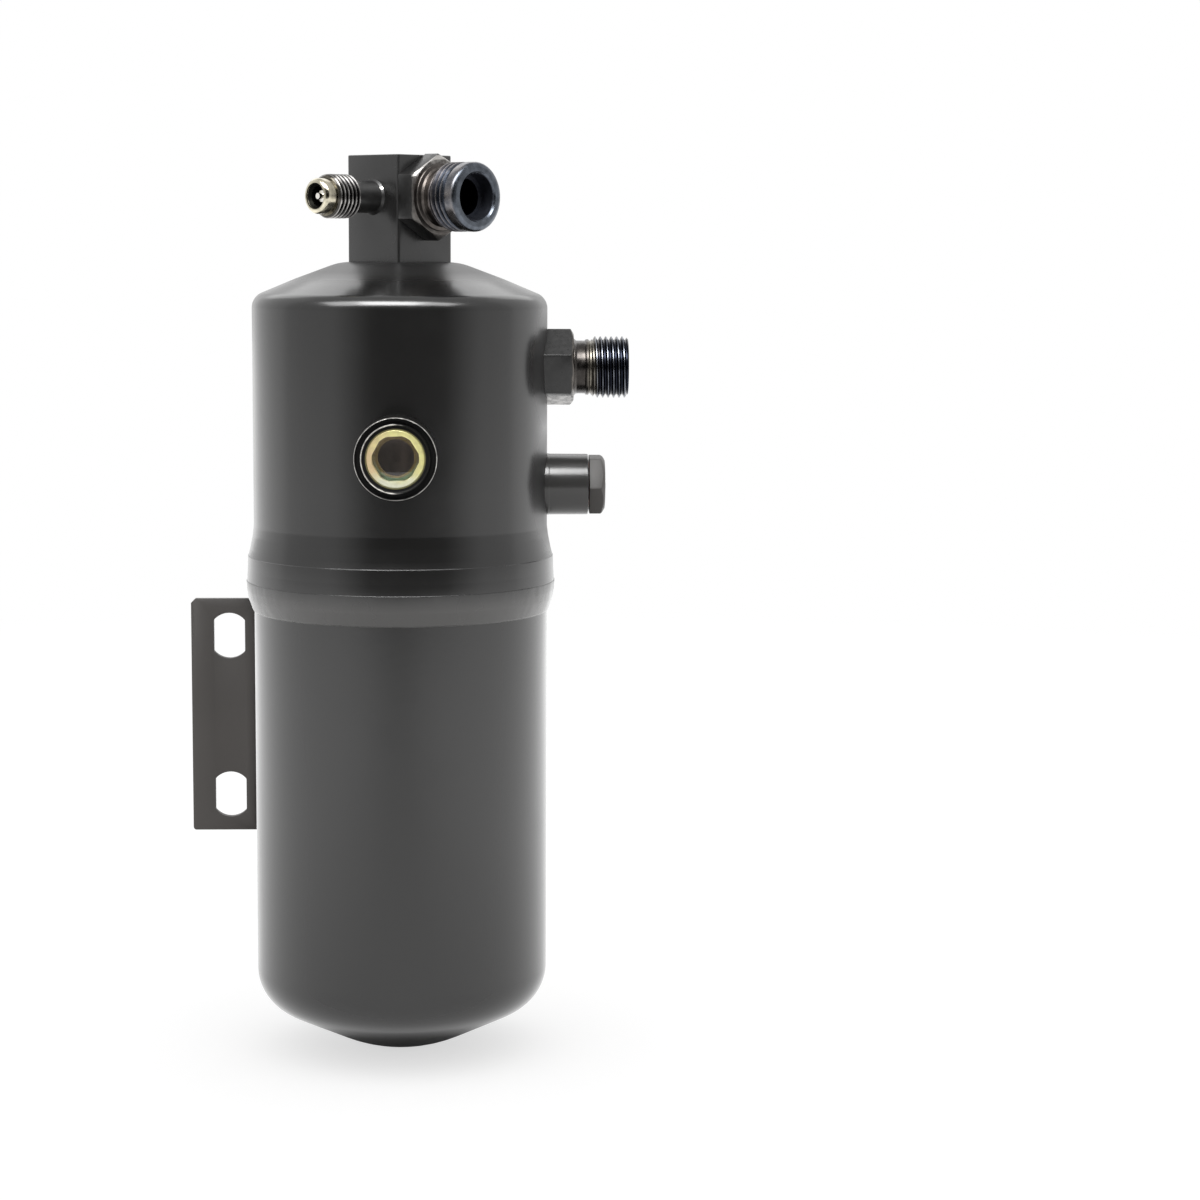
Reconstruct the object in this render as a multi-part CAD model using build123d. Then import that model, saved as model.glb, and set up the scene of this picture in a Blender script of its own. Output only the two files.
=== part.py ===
from build123d import *
import math
import os

os.makedirs("parts", exist_ok=True)

# Sizes are in millimetres. The vessel is drawn about its own axis (x = y = 0), height 0 being
# just above the weld between its two shells; at export everything is moved so that the origin
# is the middle of the bracket's two bolt slots.

# clearance between pieces that are pushed, screwed or brazed together, measured on the radius
fit_gap = 0.05

# the two drawn steel shells
shell_radius = 38.1
shell_wall = 1.8
crown_radius = 70.0
crown_flat = 88.0
crown_flat_radius = 11.8
crown_knuckle = 4.5
upper_rim = 5.5
bell_top = 19.0
bell_crease = 12.4
bell_crease_stand = 1.25
bell_stand = 2.0
lower_rim = 8.0
knuckle_start = -97.0
knuckle_radius = 12.0
bottom_slope = 26.0
nose_radius = 40.0
weld_foot = -1.6

# square header block, brazed on the crown with a corner to the front
block_width = 19.05
block_height = 27.1
block_corner = 0.8
block_foot_bevel = 0.6
spigot_radius = 7.0
spigot_length = 5.0
passage_radius = 3.6
port_rise = 16.4

# outlet fitting on the front right face of the block
outlet_flats = 19.05
outlet_hex_length = 5.6
outlet_neck_radius = 7.2
outlet_neck_length = 3.9
outlet_thread_radius = 8.73
outlet_thread_length = 9.4
outlet_spigot_radius = 7.0
outlet_spigot_length = 3.5
outlet_mouth_radius = 5.9
outlet_mouth_depth = 4.5
outlet_bore_radius = 4.5
outlet_turn = 30.0

# charge port on the front left face of the block, with its valve core
charge_neck_radius = 4.1
charge_neck_length = 8.5
charge_thread_radius = 5.56
charge_thread_length = 7.7
charge_tip_radius = 4.5
charge_tip_length = 3.4
charge_spigot_radius = 4.0
charge_spigot_length = 4.5
core_bore_radius = 2.6
core_bore_depth = 14.1
charge_mouth_radius = 3.2
charge_mouth_depth = 1.0
charge_passage_radius = 1.6
core_length = 5.6
core_below_mouth = 4.5
pin_radius = 0.75
pin_clearance = 0.15
pin_below_mouth = 0.9
pin_disc_radius = 1.3
pin_disc_length = 0.8
pin_collar_radius = 1.45
pin_collar_below_tip = 1.4
seal_radius = 1.6
seal_length = 1.15
valve_spring_wire = 0.18
valve_spring_turns = 3
core_slot = 1.2
core_slot_depth = 1.0

# hex plug on the rear right face of the block
plug_flats = 14.29
plug_head_length = 4.5
plug_shank_radius = 5.0
plug_shank_length = 5.0
washer_radius = 6.6
washer_thickness = 0.35

# inlet fitting on the right side of the upper shell
inlet_height = 61.0
inlet_flats = 17.46
inlet_hex_length = 6.8
inlet_neck_radius = 6.85
inlet_neck_length = 4.5
inlet_thread_radius = 7.94
inlet_thread_length = 9.6
inlet_bore_radius = 4.2
inlet_mouth_radius = 5.4
inlet_mouth_depth = 4.0
inlet_spigot_radius = 5.9
inlet_turn = 7.0

# relief boss under the inlet, closed by a plug with a fusible metal core
relief_height = 30.5
relief_boss_radius = 7.9
relief_boss_length = 10.9
relief_ring_radius = 8.45
relief_ring_length = 0.9
relief_thread_radius = 4.2
relief_sleeve_wall = 1.6
relief_head_length = 4.15
relief_shank_length = 8.5
relief_core_radius = 1.6
relief_turn = -15.0

# sight glass boss on the front of the upper shell
sight_height = 40.6
sight_boss_radius = 10.2
sight_boss_length = 12.0
sight_step_radius = 8.2
sight_step_depth = 0.9
sight_thread_radius = 7.2
sight_seat_rise = 4.5
sight_ring_flats = 10.9
sight_ring_corner = 6.05
sight_ring_length = 3.2
sight_lens_thickness = 2.6
sight_seal_wire = 0.8
sight_window_radius = 4.4

# folded sheet bracket welded along the left side of the lower shell
bracket_sheet = 2.0
bracket_width = 16.55
bracket_top = 0.5
bracket_bottom = -60.7
bracket_wrap = 38.0
bracket_leg_top = -3.0
slot_radius = 4.05
slot_length = 12.0
slot_stand = 6.65
slot_spacing = 42.0
slot_middle = -30.2
bracket_corner = 1.0
bracket_bend = 0.5
bracket_clear_x = 1.7
bracket_clear_z = 2.5

# drying cartridge in the lower shell and the pickup tube through it
tube_radius = 4.75
tube_wall = 0.9
tube_seat = 6.0
plate_thickness = 1.2
plate_below_knuckle = 2.0
pad_thickness = 4.0
bed_top = -6.0
plate_hole_radius = 3.2
strainer_radius = 6.2
strainer_wall = 0.5
strainer_length = 10.5
strainer_gap = 1.5
tube_in_strainer = 5.5
spring_wire = 0.9
spring_base_radius = 29.0
spring_top_radius = 13.0
spring_turns = 4.5

# heights and radii worked out from the sizes above
shell_inside = shell_radius - shell_wall
saddle_root = 0.8 * shell_radius
spigot_reach = shell_inside - shell_wall / 2
crown_centre = crown_flat - math.sqrt(crown_radius ** 2 - crown_flat_radius ** 2)
block_bottom = crown_flat
block_top = block_bottom + block_height
block_face = block_width / 2
port_height = block_bottom + port_rise
spigot_bottom = block_bottom - spigot_length
charge_end = block_face + charge_neck_length + charge_thread_length + charge_tip_length
core_end = charge_end - core_below_mouth
core_start = core_end - core_length
pin_outer_end = charge_end - pin_below_mouth
pin_inner_end = core_start - seal_length - pin_disc_length - fit_gap
pin_collar_end = pin_outer_end - pin_collar_below_tip
inlet_hex_end = shell_radius + inlet_hex_length
inlet_neck_end = inlet_hex_end + inlet_neck_length
inlet_thread_end = inlet_neck_end + inlet_thread_length
relief_boss_end = shell_radius + relief_boss_length
relief_head = relief_boss_end + washer_thickness
relief_plug_end = relief_head + relief_head_length
relief_shank_start = relief_boss_end - relief_shank_length
relief_sleeve_radius = relief_thread_radius + relief_sleeve_wall
sight_boss_end = shell_radius + sight_boss_length
sight_seat = shell_radius + sight_seat_rise
slot_x = -(shell_radius + slot_stand)
bore_radius = tube_radius + fit_gap
tube_top = block_bottom + tube_seat
lower_plate_bottom = knuckle_start - plate_below_knuckle
strainer_top = lower_plate_bottom - strainer_gap
tube_bottom = strainer_top - tube_in_strainer


def turned(points):
    # solid turned about the z axis from straight lines between (radius, height) points
    outline = Plane.XZ * make_face(Polyline(*points, close=True).edges())
    return revolve(outline, Axis.Z)


def tube(outer, inner, start, end):
    return turned([(inner, start), (outer, start), (outer, end), (inner, end)])


def rod(radius, start, end):
    return turned([(0, start), (radius, start), (radius, end), (0, end)])


def hexagon(flats, start, end, bevel):
    # hexagonal head along z, its outer corners turned off at 30 degrees by `bevel`
    corner = flats / math.sqrt(3)
    head = extrude(Pos(0, 0, start) * RegularPolygon(corner, 6), end - start)
    drop = bevel * math.tan(math.radians(30))
    lathe = turned([(0, start), (corner, start), (corner, end - drop), (corner - bevel, end), (0, end)])
    return head & lathe


def side_place(height, turn=0.0):
    # places a piece drawn along z so that it points to +x at this height
    return Plane(origin=(0, 0, height), x_dir=(0, -1, 0), z_dir=(1, 0, 0)).location * Rot(0, 0, turn)


def front_place(height):
    return Plane(origin=(0, 0, height), x_dir=(1, 0, 0), z_dir=(0, -1, 0)).location


def block_place(x_sign, y_sign, turn=0.0):
    # places a piece drawn along z so that it points out of one face of the block
    out = Vector(x_sign, y_sign, 0).normalized()
    side = Vector(0, 0, 1).cross(out)
    place = Plane(origin=(0, 0, port_height), x_dir=side, z_dir=out).location
    return place * Rot(0, 0, turn)


def crown_point(lean):
    # point of the spherical crown at this angle from the axis
    return (crown_radius * math.sin(lean), crown_centre + crown_radius * math.cos(lean))


def crown_outside():
    # a filled cylinder under a spherical crown with a flat in its middle
    centre = shell_radius - crown_knuckle
    lean = math.asin(centre / (crown_radius - crown_knuckle))
    height = knuckle_height()
    flat_lean = math.asin(crown_flat_radius / crown_radius)
    bend = (lean + math.pi / 2) / 2
    round_middle = (centre + crown_knuckle * math.sin(bend), height + crown_knuckle * math.cos(bend))
    edges = [
        Line((0, bell_top), (shell_radius, bell_top)),
        Line((shell_radius, bell_top), (shell_radius, height)),
        ThreePointArc((shell_radius, height), round_middle, crown_point(lean)),
        ThreePointArc(crown_point(lean), crown_point((lean + flat_lean) / 2), crown_point(flat_lean)),
        Line(crown_point(flat_lean), (0, crown_flat)),
        Line((0, crown_flat), (0, bell_top)),
    ]
    return revolve(Plane.XZ * make_face(edges), Axis.Z)


def knuckle_height():
    # where the upper shell's straight side ends and the knuckle under its crown begins
    centre = shell_radius - crown_knuckle
    return crown_centre + math.sqrt((crown_radius - crown_knuckle) ** 2 - centre ** 2)


def bell_outside():
    # the widened mouth of the upper shell, filled, from its rim to where it meets the cylinder
    crease = (shell_radius + bell_crease_stand, bell_crease)
    edges = [
        Line((0, upper_rim), (shell_radius + bell_stand, upper_rim)),
        Line((shell_radius + bell_stand, upper_rim), crease),
        Bezier(crease, (shell_radius, (bell_crease + bell_top) / 2), (shell_radius, bell_top)),
        Line((shell_radius, bell_top), (0, bell_top)),
        Line((0, bell_top), (0, upper_rim)),
    ]
    return revolve(Plane.XZ * make_face(edges), Axis.Z)


def upper_inside():
    # straight bore with a socket for the lower shell under it and a cone up to a flat over it
    flat = crown_flat - shell_wall
    bore_start = bell_top - shell_wall / 4
    socket = shell_radius + fit_gap
    return turned([(0, 0), (socket, 0), (socket, lower_rim + shell_wall / 2), (shell_inside, bore_start),
                   (shell_inside, knuckle_height()), (crown_flat_radius, flat), (0, flat)])


def upper_shell():
    shell = crown_outside() + bell_outside() - upper_inside()
    shell -= rod(spigot_radius + fit_gap, spigot_bottom, block_top)
    shell -= side_place(inlet_height) * rod(inlet_spigot_radius + fit_gap, saddle_root, inlet_thread_end)
    shell -= side_place(relief_height) * rod(relief_sleeve_radius + fit_gap, saddle_root, relief_plug_end)
    shell -= front_place(sight_height) * rod(sight_thread_radius + fit_gap, saddle_root, sight_boss_end)
    return shell


def knuckle_point(turn):
    # point of the round between the lower shell's side and its bottom
    centre = shell_radius - knuckle_radius
    return (centre + knuckle_radius * math.cos(turn), knuckle_start - knuckle_radius * math.sin(turn))


def lower_outside():
    # a filled can with a cone-shaped bottom and a rounded nose
    slope = math.radians(bottom_slope)
    turn = math.pi / 2 - slope
    foot = knuckle_point(turn)
    tip_radius = nose_radius * math.sin(slope)
    tip = (tip_radius, foot[1] - (foot[0] - tip_radius) * math.tan(slope))
    nose_centre = tip[1] + nose_radius * math.cos(slope)
    apex = (0, nose_centre - nose_radius)
    half = (nose_radius * math.sin(slope / 2), nose_centre - nose_radius * math.cos(slope / 2))
    edges = [
        Line((0, lower_rim), (shell_radius, lower_rim)),
        Line((shell_radius, lower_rim), (shell_radius, knuckle_start)),
        ThreePointArc((shell_radius, knuckle_start), knuckle_point(turn / 2), foot),
        Line(foot, tip),
        ThreePointArc(tip, half, apex),
        Line(apex, (0, lower_rim)),
    ]
    return revolve(Plane.XZ * make_face(edges), Axis.Z)


def lower_inside():
    # straight cones that follow the outside about one wall's thickness in
    slope = math.radians(bottom_slope)
    knuckle = knuckle_radius - shell_wall
    nose = nose_radius - shell_wall
    bore_end = knuckle_start - 0.24 * knuckle
    foot = (shell_radius - knuckle_radius + knuckle * math.sin(slope), knuckle_start - knuckle * math.cos(slope))
    tip_radius = nose * math.sin(slope)
    tip_height = foot[1] - (foot[0] - tip_radius) * math.tan(slope)
    apex = tip_height + nose * math.cos(slope) - nose
    return turned([(0, lower_rim + 1), (shell_inside, lower_rim + 1), (shell_inside, bore_end), foot,
                   (tip_radius, tip_height), (0, apex)])


def lower_shell():
    return lower_outside() - lower_inside()


def seam_weld():
    # bead that fills the step between the upper shell's rim and the lower shell
    rise = upper_rim - weld_foot
    return turned([(shell_radius, weld_foot), (shell_radius + 0.62 * bell_stand, weld_foot + 0.24 * rise),
                   (shell_radius + 0.95 * bell_stand, weld_foot + 0.56 * rise),
                   (shell_radius + bell_stand, upper_rim), (shell_radius, upper_rim)])


def header_block():
    block = Pos(0, 0, block_bottom + block_height / 2) * Box(block_width, block_width, block_height)
    block = fillet(block.edges().filter_by(Axis.Z), block_corner)
    block = chamfer(block.edges().group_by(Axis.Z)[0], block_foot_bevel)
    block = Rot(0, 0, 45) * block
    block += rod(spigot_radius, spigot_bottom, block_bottom + 1)
    block -= rod(bore_radius, spigot_bottom, tube_top + fit_gap)
    block -= rod(passage_radius, tube_top, port_height + passage_radius)
    outlet_seat = block_face - outlet_spigot_length - fit_gap
    block -= block_place(1, -1) * rod(outlet_spigot_radius + fit_gap, outlet_seat, block_width)
    block -= block_place(1, -1) * rod(outlet_bore_radius, 0, block_width)
    charge_seat = block_face - charge_spigot_length - fit_gap
    block -= block_place(-1, -1) * rod(charge_spigot_radius + fit_gap, charge_seat, block_width)
    block -= block_place(-1, -1) * rod(charge_passage_radius, 0, block_width)
    plug_seat = block_face - plug_shank_length - fit_gap
    block -= block_place(1, 1) * rod(plug_shank_radius + fit_gap, plug_seat, block_width)
    return block


def threaded(radius, start, end, bevel):
    # the plain outline of a male thread, beveled at both ends
    return turned([(0, start), (radius - bevel, start), (radius, start + bevel), (radius, end - bevel),
                   (radius - bevel, end), (0, end)])


def outlet_fitting():
    # hex, neck and threaded end on one bored turning, its spigot brazed in the block
    hex_end = block_face + outlet_hex_length
    neck_end = hex_end + outlet_neck_length
    end = neck_end + outlet_thread_length
    body = rod(outlet_spigot_radius, block_face - outlet_spigot_length, hex_end)
    body += hexagon(outlet_flats, block_face + 0.02, hex_end, 1.0)
    body += rod(outlet_neck_radius, hex_end, neck_end)
    body += threaded(outlet_thread_radius, neck_end, end, 0.9)
    body -= rod(outlet_bore_radius, 0, end)
    body -= rod(outlet_mouth_radius, end - outlet_mouth_depth, end)
    return body


def charge_port():
    # neck, thread and rounded tip on one turning, bored for the valve core
    neck_end = block_face + charge_neck_length
    thread_end = neck_end + charge_thread_length
    tip = charge_tip_radius
    body = rod(charge_spigot_radius, block_face - charge_spigot_length, block_face + 1)
    body += rod(charge_neck_radius, block_face + 0.02, neck_end)
    body += threaded(charge_thread_radius, neck_end, thread_end, 0.7)
    body += turned([(0, thread_end), (tip, thread_end), (tip, charge_end - 0.7), (tip - 0.7, charge_end),
                    (0, charge_end)])
    body -= rod(charge_passage_radius, 0, charge_end)
    body -= rod(core_bore_radius, charge_end - core_bore_depth, charge_end)
    bevel = charge_end - charge_mouth_depth
    body -= turned([(0, bevel), (core_bore_radius, bevel), (charge_mouth_radius, charge_end), (0, charge_end)])
    return body


def valve_core_body():
    body = tube(core_bore_radius - fit_gap, pin_radius + pin_clearance, core_start, core_end)
    grip = Pos(0, 0, core_end) * Box(2 * core_bore_radius, core_slot, 2 * core_slot_depth)
    return body - Rot(0, 0, 20) * grip


def valve_pin():
    # stem with the disc that carries the seal and the collar that the spring pushes out
    pin = rod(pin_radius, pin_inner_end, pin_outer_end)
    pin += rod(pin_disc_radius, pin_inner_end, pin_inner_end + pin_disc_length)
    collar = rod(pin_collar_radius, pin_collar_end - pin_disc_length, pin_collar_end)
    return pin + collar


def valve_seal():
    start = pin_inner_end + pin_disc_length + 0.02
    return tube(seal_radius, pin_radius + 0.02, start, core_start - fit_gap)


def coil(turns, steps, start, end, start_radius, end_radius, wire_radius, sides):
    # wire along straight runs, `steps` to a turn, its middle line going from start to end
    count = round(turns * steps)
    points = []
    for step in range(count + 1):
        share = step / count
        angle = share * turns * 2 * math.pi
        radius = start_radius + (end_radius - start_radius) * share
        points.append((radius * math.cos(angle), radius * math.sin(angle), start + (end - start) * share))
    path = Polyline(*points)
    section = Plane(origin=path @ 0, z_dir=path % 0) * RegularPolygon(wire_radius, sides)
    return sweep(section, path=path, transition=Transition.RIGHT)


def valve_spring():
    start = core_end + valve_spring_wire + 0.02
    end = pin_collar_end - pin_disc_length - valve_spring_wire - 0.02
    radius = pin_radius + pin_clearance + 1.6 * valve_spring_wire
    return coil(valve_spring_turns, 8, start, end, radius, radius, valve_spring_wire, 4)


def block_plug():
    head = block_face + washer_thickness
    plug = hexagon(plug_flats, head, head + plug_head_length, 1.2)
    return plug + rod(plug_shank_radius, block_face - plug_shank_length, head)


def washer(hole, seat):
    return tube(washer_radius, hole + fit_gap, seat + 0.02, seat + washer_thickness - 0.02)


def block_plug_seal():
    return washer(plug_shank_radius, block_face)


def saddled(piece):
    # cuts a piece drawn in place so that it sits on the round shell
    return piece - Cylinder(shell_radius + 0.02, 2 * block_top)


def inlet_fitting():
    body = hexagon(inlet_flats, saddle_root, inlet_hex_end, 1.3)
    body += rod(inlet_neck_radius, inlet_hex_end, inlet_neck_end)
    body += threaded(inlet_thread_radius, inlet_neck_end, inlet_thread_end, 0.8)
    body = saddled(side_place(inlet_height, inlet_turn) * body)
    body += side_place(inlet_height) * rod(inlet_spigot_radius, spigot_reach, inlet_hex_end)
    body -= side_place(inlet_height) * rod(inlet_bore_radius, saddle_root, inlet_thread_end)
    mouth = rod(inlet_mouth_radius, inlet_thread_end - inlet_mouth_depth, inlet_thread_end)
    return body - side_place(inlet_height) * mouth


def relief_boss():
    ring_end = shell_radius + relief_ring_length
    body = rod(relief_boss_radius, saddle_root, relief_boss_end)
    body += rod(relief_ring_radius, saddle_root, ring_end)
    body = saddled(side_place(relief_height) * body)
    body += side_place(relief_height) * rod(relief_sleeve_radius, spigot_reach, ring_end)
    return body - side_place(relief_height) * rod(relief_thread_radius + fit_gap, saddle_root, relief_plug_end)


def relief_plug():
    body = hexagon(plug_flats, relief_head, relief_plug_end, 1.6)
    body += rod(relief_thread_radius, relief_shank_start, relief_head)
    return body - rod(relief_core_radius + 0.02, relief_shank_start, relief_plug_end)


def relief_plug_seal():
    return washer(relief_thread_radius, relief_boss_end)


def fusible_core():
    return rod(relief_core_radius, relief_shank_start, relief_plug_end - 0.15)


def sight_glass_boss():
    body = rod(sight_boss_radius, saddle_root, sight_boss_end)
    body = chamfer(body.edges().group_by(Axis.Z)[-1], 0.35)
    body = saddled(front_place(sight_height) * body)
    body += front_place(sight_height) * rod(sight_thread_radius, spigot_reach, sight_seat)
    body -= front_place(sight_height) * rod(sight_window_radius, saddle_root, sight_boss_end)
    body -= front_place(sight_height) * rod(sight_thread_radius, sight_seat, sight_boss_end)
    body -= front_place(sight_height) * rod(sight_step_radius, sight_boss_end - sight_step_depth, sight_boss_end)
    return body


def sight_glass_seal():
    # flat ring between the seat and the glass
    inner = sight_window_radius + 0.6
    return tube(sight_thread_radius - 0.4, inner, sight_seat + 0.02, sight_seat + sight_seal_wire)


def sight_glass_lens():
    start = sight_seat + sight_seal_wire + 0.02
    return rod(sight_thread_radius - 0.15, start, start + sight_lens_thickness)


def sight_glass_ring():
    # threaded ring that holds the glass down, with a rounded six-sided hole for its key
    start = sight_seat + sight_seal_wire + sight_lens_thickness + 0.06
    ring = rod(sight_thread_radius - fit_gap, start, start + sight_ring_length)
    ring = chamfer(ring.edges().group_by(Axis.Z)[-1], 0.3)
    key = extrude(Pos(0, 0, start) * RegularPolygon(sight_ring_flats / math.sqrt(3), 6), sight_ring_length)
    return ring - (Rot(0, 0, 10) * key & rod(sight_ring_corner, start, start + sight_ring_length))


def mounting_bracket():
    # one folded sheet: a flat flange with two slots and a leg rolled to the shell behind it
    inner = shell_radius + fit_gap
    half = bracket_sheet / 2
    reach = shell_radius + bracket_width
    wrap = math.radians(bracket_wrap)
    turn_end = (-reach, reach * math.tan(wrap))
    wedge = make_face(Polyline((0, 0), (-reach, 0), turn_end, close=True).edges())
    leg = (Circle(inner + bracket_sheet) - Circle(inner)) & wedge
    flange = Pos(-reach / 2, 0) * Rectangle(reach, bracket_sheet) - Circle(inner)
    flange -= Pos(reach / 2, 0) * Rectangle(reach, bracket_sheet)
    section = flange + leg
    inside_bend = [v for v in section.vertices()
                   if abs(v.Y - half) < 0.01 and -inner - bracket_sheet - 1 < v.X < -inner - bracket_sheet / 4]
    section = fillet(inside_bend, bracket_bend)
    sheet = extrude(Pos(0, 0, bracket_bottom) * section, bracket_top - bracket_bottom)
    # the leg stops under the weld, only the flange goes on to the top
    over_leg = bracket_top - bracket_leg_top
    sheet -= Pos(-reach / 2, half + reach / 2, bracket_leg_top + over_leg / 2) * Box(2 * reach, reach, over_leg)
    # the flange's top inner corner is cut off to clear the weld
    notch = Polyline(
        (-inner - bracket_clear_x, bracket_top), (-inner + half, bracket_top),
        (-inner + half, bracket_top - bracket_clear_z), (-inner, bracket_top - bracket_clear_z), close=True,
    )
    sheet -= extrude(Plane.XZ * make_face(notch.edges()), bracket_sheet, both=True)
    sheet = fillet(sheet.edges().filter_by(Axis.Y).group_by(Axis.X)[0], bracket_corner)
    for height in (slot_middle - slot_spacing / 2, slot_middle + slot_spacing / 2):
        slot = SlotOverall(slot_length, 2 * slot_radius, rotation=90)
        sheet -= extrude(Plane.XZ * (Pos(slot_x, height) * slot), bracket_sheet, both=True)
    return sheet


def pickup_tube():
    return tube(tube_radius, tube_radius - tube_wall, tube_bottom, tube_top)


def pickup_strainer():
    bottom = strainer_top - strainer_length
    cup = rod(strainer_radius, bottom, strainer_top)
    cup -= rod(strainer_radius - strainer_wall, bottom + strainer_wall, strainer_top - strainer_wall)
    return cup - rod(bore_radius, tube_bottom, strainer_top)


def perforated(radius, bottom):
    plate = tube(radius, bore_radius + 0.2, bottom, bottom + plate_thickness)
    hole = extrude(Pos(0, 0, bottom) * RegularPolygon(plate_hole_radius, 6), plate_thickness)
    for share, count in ((0.40, 6), (0.76, 12)):
        for index in range(count):
            plate -= Rot(0, 0, 360 / count * index) * Pos(share * radius, 0, 0) * hole
    return plate


lower_pad_bottom = lower_plate_bottom + plate_thickness + 0.02
bed_bottom = lower_pad_bottom + pad_thickness + 0.02
upper_pad_bottom = bed_top + 0.02
upper_plate_bottom = upper_pad_bottom + pad_thickness + 0.02


def retaining_spring():
    # conical coil between the upper plate and the inside of the crown
    start = upper_plate_bottom + plate_thickness + spring_wire + fit_gap
    end = crown_flat - shell_wall - spring_wire - 0.6
    return coil(spring_turns, 12, start, end, spring_base_radius, spring_top_radius, spring_wire, 6)


pieces = {
    "upper_shell": upper_shell(),
    "lower_shell": lower_shell(),
    "seam_weld": seam_weld(),
    "header_block": header_block(),
    "outlet_fitting": block_place(1, -1, outlet_turn) * outlet_fitting(),
    "charge_port": block_place(-1, -1) * charge_port(),
    "valve_core_body": block_place(-1, -1) * valve_core_body(),
    "valve_pin": block_place(-1, -1) * valve_pin(),
    "valve_seal": block_place(-1, -1) * valve_seal(),
    "valve_spring": block_place(-1, -1) * valve_spring(),
    "block_plug": block_place(1, 1) * block_plug(),
    "block_plug_seal": block_place(1, 1) * block_plug_seal(),
    "inlet_fitting": inlet_fitting(),
    "relief_boss": relief_boss(),
    "relief_plug": side_place(relief_height, relief_turn) * relief_plug(),
    "relief_plug_seal": side_place(relief_height) * relief_plug_seal(),
    "fusible_core": side_place(relief_height) * fusible_core(),
    "sight_glass_boss": sight_glass_boss(),
    "sight_glass_seal": front_place(sight_height) * sight_glass_seal(),
    "sight_glass_lens": front_place(sight_height) * sight_glass_lens(),
    "sight_glass_ring": front_place(sight_height) * sight_glass_ring(),
    "mounting_bracket": mounting_bracket(),
    "pickup_tube": pickup_tube(),
    "pickup_strainer": pickup_strainer(),
    "lower_plate": perforated(shell_inside - 0.8, lower_plate_bottom),
    "lower_filter_pad": tube(shell_inside - 0.6, bore_radius, lower_pad_bottom, lower_pad_bottom + pad_thickness),
    "desiccant_bed": tube(shell_inside - 0.1, bore_radius, bed_bottom, bed_top),
    "upper_filter_pad": tube(shell_inside - 0.1, bore_radius, upper_pad_bottom, upper_pad_bottom + pad_thickness),
    "upper_plate": perforated(shell_inside - 0.2, upper_plate_bottom),
    "retaining_spring": retaining_spring(),
}

to_mount = Pos(-slot_x, 0, -slot_middle)
for name, solid in pieces.items():
    export_step(to_mount * solid, f"parts/{name}.step")
    print(name, "written")
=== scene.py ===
import math
import bpy
from mathutils import Matrix, Vector


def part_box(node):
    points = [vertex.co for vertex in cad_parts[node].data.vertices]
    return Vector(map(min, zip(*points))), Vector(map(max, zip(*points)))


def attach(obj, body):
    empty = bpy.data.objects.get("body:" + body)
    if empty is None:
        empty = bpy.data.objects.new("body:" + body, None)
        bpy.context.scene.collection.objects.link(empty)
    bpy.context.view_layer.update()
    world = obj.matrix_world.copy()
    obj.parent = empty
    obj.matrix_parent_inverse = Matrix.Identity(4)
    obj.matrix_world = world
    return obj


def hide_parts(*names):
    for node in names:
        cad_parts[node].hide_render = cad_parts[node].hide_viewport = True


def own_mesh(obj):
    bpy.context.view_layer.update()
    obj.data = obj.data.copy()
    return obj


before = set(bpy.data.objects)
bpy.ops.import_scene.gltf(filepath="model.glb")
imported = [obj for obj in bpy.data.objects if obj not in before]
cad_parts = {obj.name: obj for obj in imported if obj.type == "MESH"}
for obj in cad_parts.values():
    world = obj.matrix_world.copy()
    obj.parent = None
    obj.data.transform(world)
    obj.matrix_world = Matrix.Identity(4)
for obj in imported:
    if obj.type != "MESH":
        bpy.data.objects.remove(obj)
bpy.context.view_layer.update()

# Pieces are drawn in millimetres about the vessel's own axis, height 0 just above the weld,
# and set into the frame at the end. The CAD shells say where that axis and height are.
shellLow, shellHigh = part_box("lower_shell")
upperLow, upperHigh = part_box("upper_shell")
rimHeight = 5.5
axisX = (shellLow[0] + shellHigh[0]) / 2
axisY = (shellLow[1] + shellHigh[1]) / 2
zeroZ = upperLow[2] - rimHeight / 1000
floorZ = shellLow[2]
vesselPlace = Matrix.Translation((axisX, axisY, zeroZ)) @ Matrix.Scale(0.001, 4)


# modelling helpers

def deselectAll():
    active = bpy.context.view_layer.objects.active
    if active and active.mode != "OBJECT":
        bpy.ops.object.mode_set(mode="OBJECT")
    bpy.ops.object.select_all(action="DESELECT")


def pick(piece):
    deselectAll()
    piece.select_set(True)
    bpy.context.view_layer.objects.active = piece


def editAll(piece):
    pick(piece)
    bpy.ops.object.mode_set(mode="EDIT")
    bpy.ops.mesh.select_all(action="SELECT")


def editDone():
    bpy.ops.object.mode_set(mode="OBJECT")


def closeUp(piece, gap=0.0005):
    editAll(piece)
    bpy.ops.mesh.remove_doubles(threshold=gap)
    bpy.ops.mesh.delete_loose(use_faces=False)
    bpy.ops.mesh.select_all(action="SELECT")
    bpy.ops.mesh.normals_make_consistent(inside=False)
    editDone()


def applyAll(piece):
    pick(piece)
    for modifier in list(piece.modifiers):
        bpy.ops.object.modifier_apply(modifier=modifier.name)


def drawLine(name, points):
    # a wire in the xz plane, extruded from point to point: x is the radius, z the height
    deselectAll()
    bpy.ops.mesh.primitive_plane_add(size=1)
    line = bpy.context.object
    line.name = name
    bpy.ops.object.mode_set(mode="EDIT")
    bpy.ops.mesh.select_mode(type="VERT")
    bpy.ops.mesh.merge(type="CENTER")
    bpy.ops.transform.translate(value=(points[0][0], 0, points[0][1]))
    for here, there in zip(points, points[1:]):
        step = (there[0] - here[0], 0, there[1] - here[1])
        bpy.ops.mesh.extrude_vertices_move(TRANSFORM_OT_translate={"value": step})
    editDone()
    return line


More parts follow.
